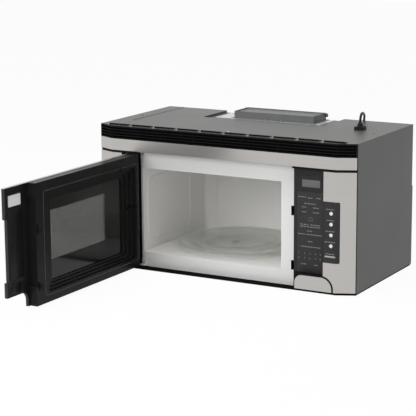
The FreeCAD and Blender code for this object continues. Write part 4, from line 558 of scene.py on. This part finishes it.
# ---------------------------------------------------------------------------
# Turntable. A pressed glass tray, faintly green, with a rolled rim and two low rings in its face,
# rides on white nylon: the coupler, the ring and its three rollers. The fan blade is nylon too.
tray_green = (0.86, 0.92, 0.86)
glass, wire = start_finish("tray_glass", tray_green, 0.08, Transmission_Weight=0.9, IOR=1.5, Alpha=0.6)
ripple = grain(wire, 60.0, 2.0)
feed(glass, Roughness=0.05 + ripple * 0.08, Normal=bump(wire, ripple, 0.0003, 0.4))
tray_x, tray_depth, tray_low = -57.0, 206.6, 54.0
tray_radius = 167.4
tray_top = tray_low + 4.5
tray_rim = [(22.0, 0.0), (7.0, 3.5), (1.5, 4.6), (0.0, 6.2), (0.8, 7.6), (3.0, 8.0), (9.0, 7.8), (16.0, 6.4)]
tray_rings = [(tray_radius - inward, tray_low + rise) for inward, rise in tray_rim]
tray_rings.append((tray_radius - 24.0, tray_top))
for ring in (118.0, 80.0):
    tray_rings += [(ring + 3.0, tray_top), (ring + 1.2, tray_top + 0.3), (ring - 1.2, tray_top + 0.3),
                   (ring - 3.0, tray_top)]
tray_rings.append((4.0, tray_top))
tray = bmesh.new()
turned(tray, lambda u, h, v: spot(tray_x + u, tray_depth + v, h), tray_rings, 96)
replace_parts(lay_out("pressed_glass_tray", "turntable", glass, tray, 45), "glass_tray")
nylon_white = (0.76, 0.75, 0.72)
nylon, wire = start_finish("white_nylon", nylon_white, 0.4)
peel = grain(wire, 400.0, 2.0)
feed(nylon, Base_Color=shades(wire, grain(wire, 50.0), nylon_white, 0.05), Roughness=0.36 + peel * 0.1)
dress(nylon, "turntable_coupler", "roller_ring", "roller_1", "roller_2", "roller_3", "fan_blade", "lamps")

# ---------------------------------------------------------------------------
# Door. A black moulded frame with a rolled rim carries a stepped surround, a perforated sheet
# behind the window, the outer glass and the latch bar. It stands open at its hinge.
door_black = (0.011, 0.011, 0.0108)
gloss, wire = start_finish("gloss_black", door_black, 0.30, Specular_IOR_Level=0.075)
smudge = grain(wire, 14.0, 5.0)
feed(gloss, Base_Color=shades(wire, smudge, door_black, 0.25),
     Roughness=0.22 + smudge * 0.16, Normal=bump(wire, grain(wire, 700.0), 0.00006, 0.4))
dress(gloss, "door_frame", "choke_cover", "latch_bar", soften=0.3)
hinge_x, hinge_depth = -270.0, 14.0
door_swing = math.radians(-90.5)


def on_door(x, depth, z):
    """A place on the door, measured with the door shut and swung open with it."""
    across, inward = x - hinge_x, depth - hinge_depth
    return spot(hinge_x + across * math.cos(door_swing) - inward * math.sin(door_swing),
                hinge_depth + across * math.sin(door_swing) + inward * math.cos(door_swing), z)


def shut_door(wire):
    """Place on the shut door in millimetres: across, in from its face, and height."""
    here = wire.node("TexCoord", output=3)
    across, back, height = (wire.node("SeparateXYZ", {}, {"Vector": here}, axis) for axis in range(3))
    from_hinge = across * 1000.0 - hinge_x
    from_pivot = back * 1000.0 - (front_y * 1000.0 + hinge_depth)
    shut_x = from_hinge * math.cos(door_swing) + from_pivot * math.sin(door_swing) + hinge_x
    shut_depth = from_hinge * -math.sin(door_swing) + from_pivot * math.cos(door_swing) + hinge_depth
    return shut_x, shut_depth, height * 1000.0


# The steel skin of the door has the same brush as the rest of the front. Its folded edges are
# coloured black as painted shade, apart from the flange on the top and the strip beside the hinge.
skin_sheet, unshaded_flange, unshaded_strip = 0.86, 316.0, -288.3
skin, wire = start_finish("door_steel", steel_grey, 0.30, 1.0, Anisotropic=0.85, Anisotropic_Rotation=0.25)
brushed = grain(wire, 1.0, 4.0, (5.0, 5.0, 900.0))
shut_x, shut_depth, height = shut_door(wire)
# Painted shade: the folded edges of the skin turn black and lose their metal.
edges = wire.math("GREATER_THAN", shut_depth, skin_sheet) * wire.math("LESS_THAN", height, unshaded_flange)
edges = edges * wire.math("GREATER_THAN", shut_x, unshaded_strip)
steel_shade = shades(wire, brushed, steel_grey, 0.10)
steel_and_edge_shade = wire.node("Mix", {"data_type": "RGBA"}, {0: edges, 6: steel_shade, 7: (*door_black, 1.0)}, 2)
feed(skin, Base_Color=steel_and_edge_shade, Metallic=1 - edges, Roughness=0.22 + brushed * 0.12 + edges * 0.25)
dress(skin, "door_skin", soften=0.25)

rim = bmesh.new()
bead(rim, on_door, round_outline(-259.2, 171.2, 26.8, 291.2, 9.0), 30.7, 1.2)
polish_black = (0.012, 0.012, 0.012)
polished, wire = start_finish("polished_rim", polish_black, 0.18, Specular_IOR_Level=0.6)
feed(polished, Base_Color=shades(wire, grain(wire, 60.0), polish_black, 0.2),
     Roughness=0.12 + grain(wire, 40.0) * 0.1)
lay_out("door_rim", "door", polished, rim, 60)
wing = bmesh.new()
plate(wing, on_door, round_outline(228.0, 288.0, 87.0, 259.0, 5.0), 9.8, 8.9, 0.6)
plate(wing, on_door, round_outline(241.0, 287.0, 52.0, 80.0, 4.0), 9.5, 8.9, 0.5)
bead(wing, on_door, round_outline(231.0, 285.0, 266.5, 298.5, 3.0), 8.9, 0.8)
lay_out("wing_panels", "door", gloss, wing)
wing_screw = bmesh.new()
turned(wing_screw, lambda u, h, v: on_door(285.0 + u * 0.8, 8.9 + h * 0.8, 76.7 + v * 0.8), pan_head, 48)
lay_out("wing_screw", "door", polished, wing_screw)

# Holes punched through the sheet let the light through where the glass in front has no black print.
clear_left, clear_right = -129.0, 121.5
clear_low, clear_high = 105.0, 231.0
holes_per_mm = 0.42
screen_black = (0.010, 0.010, 0.0098)
screen, wire = start_finish("perforated_sheet", screen_black, 0.10, Specular_IOR_Level=0.22)
shut_x, shut_depth, height = shut_door(wire)
flat = wire.node("CombineXYZ", {}, {0: shut_x, 1: height})
dots = wire.node("TexVoronoi", {"voronoi_dimensions": "2D"},
                 {"Vector": flat, "Scale": holes_per_mm, "Randomness": 0.0})
hole = wire.node("ValToRGB", {"stops": [(0.34, 1.0), (0.46, 0.0)]}, {"Fac": dots})
in_view = wire.math("GREATER_THAN", shut_x, clear_left) * wire.math("LESS_THAN", shut_x, clear_right)
in_view = in_view * wire.math("GREATER_THAN", height, clear_low) * wire.math("LESS_THAN", height, clear_high)
feed(screen, Base_Color=tint(wire, hole, (0.014, 0.014, 0.0136), (0.004, 0.004, 0.004)),
     Alpha=1 - in_view * hole)
dress(screen, "door_screen")
window_tint = (0.35, 0.36, 0.34)
window, wire = start_finish("tinted_window", window_tint, 0.06, Transmission_Weight=1.0, IOR=1.45)
feed(window, Base_Color=shades(wire, grain(wire, 20.0), window_tint, 0.05),
     Roughness=0.03 + grain(wire, 20.0) * 0.05)
dress(window, "door_glass")

# ---------------------------------------------------------------------------
# Displays. The small window in the door and the lens over the cooktop lamp are frosted plastic,
# the lamp lens with ribs. The cover over the display is smoked, with a grey face behind it.
smoke = (0.012, 0.011, 0.012)
smoked, wire = start_finish("smoked_plastic", smoke, 0.14, Specular_IOR_Level=0.3)
feed(smoked, Base_Color=shades(wire, grain(wire, 40.0), smoke, 0.2),
     Roughness=0.10 + grain(wire, 60.0) * 0.06)
dress(smoked, "display_window")
face_grey = (0.105, 0.105, 0.108)
face, wire = start_finish("display_face", face_grey, 0.25)
lines = wire.node("TexWave", {"bands_direction": "X"}, {"Vector": place(wire), "Scale": 120.0})
feed(face, Base_Color=shades(wire, lines, face_grey, 0.10), Roughness=0.22 + lines * 0.06)
display = bmesh.new()
plate(display, spot, round_outline(233.0, 283.5, 271.2, 289.7, 1.5), 11.25, 11.4, 0.08)
lay_out("display_panel", "cabinet", face, display)
lens_white = (0.80, 0.80, 0.79)
lens, wire = start_finish("lens_plastic", lens_white, 0.2)
feed(lens, Base_Color=shades(wire, grain(wire, 60.0), lens_white, 0.04),
     Roughness=0.16 + grain(wire, 90.0) * 0.08)
dress(lens, "display_lens", "lamp_lens")
rib_count, rib_pitch, rib_half = 21, 5.0, 0.9
lens_ribs = bmesh.new()
for index in range(rib_count):
    x = (index - (rib_count - 1) / 2) * rib_pitch
    plate(lens_ribs, on_top, round_outline(x - rib_half, x + rib_half, 53.0, 97.0, rib_half), 0.5, 1.3, 0.4)
lay_out("lamp_lens_ribs", "cabinet", lens, lens_ribs)

# ---------------------------------------------------------------------------
# Keypad. A matt polyester film with a raised lighter field, rows of short printed bars and the
# ten digits. The bars stand where the words of the keys are.
film_grey = (0.022, 0.021, 0.022)
film, wire = start_finish("keypad_film", film_grey, 0.45, Specular_IOR_Level=0.15)
weave = grain(wire, 800.0, 2.0)
feed(film, Base_Color=shades(wire, grain(wire, 12.0), film_grey, 0.12),
     Roughness=0.38 + weave * 0.1, Normal=bump(wire, weave, 0.00005, 0.4))
dress(film, "membrane_keypad")
field_grey = (0.034, 0.033, 0.034)
field, wire = start_finish("keypad_field", field_grey, 0.45, Specular_IOR_Level=0.15)
weave = grain(wire, 800.0, 2.0)
feed(field, Base_Color=shades(wire, grain(wire, 12.0), field_grey, 0.10),
     Roughness=0.38 + weave * 0.1, Normal=bump(wire, weave, 0.00005, 0.4))
keypad_face = 12.0
field_left, field_right, field_low, field_high = 219.5, 296.0, 49.5, 257.5
key_field = bmesh.new()
plate(key_field, spot, round_outline(field_left, field_right, field_low, field_high, 3.0),
      keypad_face - 0.15, keypad_face + 0.1, 0.1)
lay_out("key_field", "cabinet", field, key_field)
ink_white = (0.21, 0.21, 0.205)
ink, wire = start_finish("printed_ink", ink_white, 0.5)
feed(ink, Base_Color=shades(wire, grain(wire, 500.0), ink_white, 0.12))


def word(mesh, left, right, z, height, depth, pieces):
    """A printed word as a row of short bars with gaps, a little uneven in length."""
    room = (right - left) / pieces
    for index in range(pieces):
        start = left + room * index
        end = start + room * (0.78 - 0.16 * (index % 2))
        outline = round_outline(start, end, z - height / 2, z + height / 2, 0.3, 2)
        plate(mesh, spot, outline, depth - 0.06, depth, 0.03)


marks = bmesh.new()
mark_face = keypad_face - 0.15
for left, right, z, pieces in (
        (222, 244, 244.5, 5), (249, 263, 243, 3), (273, 285, 244, 3), (239, 273, 228, 7),
        (233, 245, 218.5, 3), (264, 281, 218.5, 4), (233, 245.5, 206, 3), (264, 283, 206, 4),
        (228, 252, 173.5, 5), (257, 285, 173.5, 6), (228, 286, 168, 12), (248, 263.5, 157, 4),
        (222, 243, 148, 5), (247, 290, 148, 9), (250, 264, 129.6, 4), (231, 286.5, 115.7, 12),
        (232, 246, 69.6, 4), (269, 278, 69.6, 3)):
    word(marks, left, right, z, 2.0, mark_face, pieces)
bead(marks, spot, round_outline(251.0, 263.0, 184.0, 192.0, 3.5), mark_face, 0.35)
digit_height = 6.2
digit_places = (224.6, 241.2, 256.4, 271.6, 285.4)
for z, digits in ((98.0, "12345"), (85.5, "67890")):
    for digit, x in zip(digits, digit_places):
        letter = bpy.data.curves.new("digit", "FONT")
        letter.body = digit
        letter.size = digit_height
        letter.align_x = "CENTER"
        letter.align_y = "CENTER"
        letter.extrude = 0.03
        drawn = bpy.data.objects.new("digit", letter)
        shape = drawn.to_mesh()
        first = len(marks.verts)
        marks.from_mesh(shape)
        marks.verts.ensure_lookup_table()
        for vertex in marks.verts[first:]:
            vertex.co = spot(x + vertex.co.x, mark_face - 0.03 - vertex.co.z, z + vertex.co.y)
        drawn.to_mesh_clear()
        bpy.data.objects.remove(drawn)
        bpy.data.curves.remove(letter)
lay_out("key_marks", "cabinet", ink, marks)

# ---------------------------------------------------------------------------
# Push buttons. Four domed white caps in the black panel on the right, each with printed bars
# above it, and a light bar under them.
panel_grey = (0.026, 0.026, 0.026)
panel, wire = start_finish("button_panel", panel_grey, 0.4, Specular_IOR_Level=0.2)
feed(panel, Base_Color=shades(wire, grain(wire, 60.0), panel_grey, 0.15),
     Roughness=0.34 + grain(wire, 500.0) * 0.12)
dress(panel, "button_panel", soften=0.3)
cap_white = (0.66, 0.66, 0.645)
cap, wire = start_finish("button_white", cap_white, 0.35)
peel = grain(wire, 400.0, 2.0)
feed(cap, Base_Color=shades(wire, grain(wire, 50.0), cap_white, 0.04), Roughness=0.32 + peel * 0.1)
dress(cap, "push_button_1", "push_button_2", "push_button_3", "push_button_4")
panel_face = -0.6
panel_marks = bmesh.new()
for left, right, z, pieces in (
        (306.5, 329.5, 221.5, 6), (308.5, 328.5, 193.3, 5), (305.5, 331.5, 165.2, 6),
        (302.5, 332.5, 137.5, 7), (305.5, 331.5, 106.4, 6)):
    word(panel_marks, left, right, z, 2.0, panel_face, pieces)
lay_out("panel_marks", "cabinet", ink, panel_marks)
bar_grey = (0.32, 0.32, 0.31)
bar_finish, wire = start_finish("light_bar", bar_grey, 0.3)
feed(bar_finish, Base_Color=shades(wire, grain(wire, 300.0), bar_grey, 0.1))
light_bar = bmesh.new()
plate(light_bar, spot, round_outline(303.0, 332.5, 97.4, 101.6, 1.0), panel_face - 0.2, panel_face + 0.1, 0.1)
lay_out("light_bar", "cabinet", bar_finish, light_bar)

# ---------------------------------------------------------------------------
# Control board. A green laminate, etched and soldered, that stands inside the control housing
# behind the keys.
board_green = (0.045, 0.165, 0.07)
board, wire = start_finish("circuit_board", board_green, 0.35)
feed(board, Base_Color=shades(wire, grain(wire, 200.0), board_green, 0.3))
dress(board, "control_board")

# ---------------------------------------------------------------------------
# Grease filters. Two aluminium frames hold layers of expanded mesh, under the base plate. The
# strands cross in diamonds, one layer over the other.
filter_grey = (0.60, 0.61, 0.62)
mesh_metal, wire = start_finish("filter_mesh", filter_grey, 0.38, 0.9)
rolled = grain(wire, 1.0, 3.0, (20.0, 400.0, 20.0))
feed(mesh_metal, Base_Color=shades(wire, rolled, filter_grey, 0.10), Roughness=0.30 + rolled * 0.16)
dress(mesh_metal, "grease_filters")
strands = bmesh.new()
filter_half, filter_front, filter_back = 113.0, 127.0, 283.0
strand_pitch = 7.0
for middle in (-205.0, 205.0):
    left, right = middle - filter_half, middle + filter_half
    for slope in (-1, 1):
        level = 2.2 + 0.5 * slope
        reach = filter_back - filter_front
        start = left - reach
        while start < right:
            ends = []
            for run in (max(0.0, left - start), min(reach, right - start)):
                depth = filter_front + run if slope > 0 else filter_back - run
                ends.append((start + run, depth))
            if ends[1][0] - ends[0][0] > 1.0:
                (x0, d0), (x1, d1) = ends
                half = 0.55
                corners = [(x0 - half, d0), (x0 + half, d0), (x1 + half, d1), (x1 - half, d1)]
                low_loop = [strands.verts.new(spot(x, depth, level - 0.25)) for x, depth in corners]
                high_loop = [strands.verts.new(spot(x, depth, level + 0.25)) for x, depth in corners]
                for index in range(4):
                    after = (index + 1) % 4
                    strands.faces.new((low_loop[index], low_loop[after], high_loop[after], high_loop[index]))
                strands.faces.new(list(reversed(low_loop)))
                strands.faces.new(high_loop)
            start += strand_pitch
lay_out("filter_strands", "cabinet", mesh_metal, strands)

# ---------------------------------------------------------------------------
# Studio. A pale floor under two soft lamps. The camera, gloss and glass see the floor and the room
# as white, and the floor keeps the oven's shadow.
paper = bpy.data.materials.new("studio_paper")
paper.use_nodes = True
wire = Wire(paper.node_tree)
seen = wire.node("LightPath", output=0)
glossy = wire.node("LightPath", output=3)
through = wire.node("LightPath", output=6)
share = wire.math("MINIMUM", seen + glossy + through, 1.0) * 0.95
shaded = wire.node("BsdfDiffuse", {}, {"Color": (0.80, 0.80, 0.80, 1.0)})
glow = wire.node("Emission", {}, {"Color": (1.0, 1.0, 1.0, 1.0), "Strength": 1.0})
mixed = wire.node("MixShader", {}, {0: share, 1: shaded, 2: glow})
paper.node_tree.links.new(mixed.socket, paper.node_tree.nodes["Material Output"].inputs["Surface"])
floor_mesh = bmesh.new()
bmesh.ops.create_grid(floor_mesh, x_segments=1, y_segments=1, size=9.0)
floor_data = bpy.data.meshes.new("floor")
floor_mesh.to_mesh(floor_data)
floor_mesh.free()
floor = bpy.data.objects.new("floor", floor_data)
floor.location = (0.0, 0.0, -0.0005)
floor_data.materials.append(paper)
bpy.context.scene.collection.objects.link(floor)

world = bpy.data.worlds.new("studio")
bpy.context.scene.world = world
world.use_nodes = True
wire = Wire(world.node_tree)
seen = wire.node("LightPath", output=0)
glossy = wire.node("LightPath", output=3)
through = wire.node("LightPath", output=6)
share = wire.math("MINIMUM", seen + glossy + through, 1.0)
room_fill = 0.40
sky = world.node_tree.nodes["Background"]
sky.inputs["Color"].default_value = (1.0, 1.0, 1.0, 1.0)
world.node_tree.links.new((room_fill + share * (1 - room_fill)).socket, sky.inputs["Strength"])


def lamp(name, stand, aim, width, height, watts):
    """A soft box: a rectangular lamp that faces a point on the oven and leaves no glare in the steel."""
    data = bpy.data.lights.new(name, "AREA")
    data.shape = "RECTANGLE"
    data.size = width
    data.size_y = height
    data.energy = watts
    made = bpy.data.objects.new(name, data)
    made.location = stand
    made.visible_glossy = False
    made.rotation_euler = (Vector(aim) - Vector(stand)).to_track_quat("-Z", "Y").to_euler()
    bpy.context.scene.collection.objects.link(made)


lamp("overhead_box", (-0.3, -0.8, 2.6), (0.0, -0.1, 0.2), 2.4, 1.8, 48.0)
lamp("front_box", (-0.6, -3.2, 1.3), (0.0, -0.1, 0.2), 1.8, 1.4, 50.0)
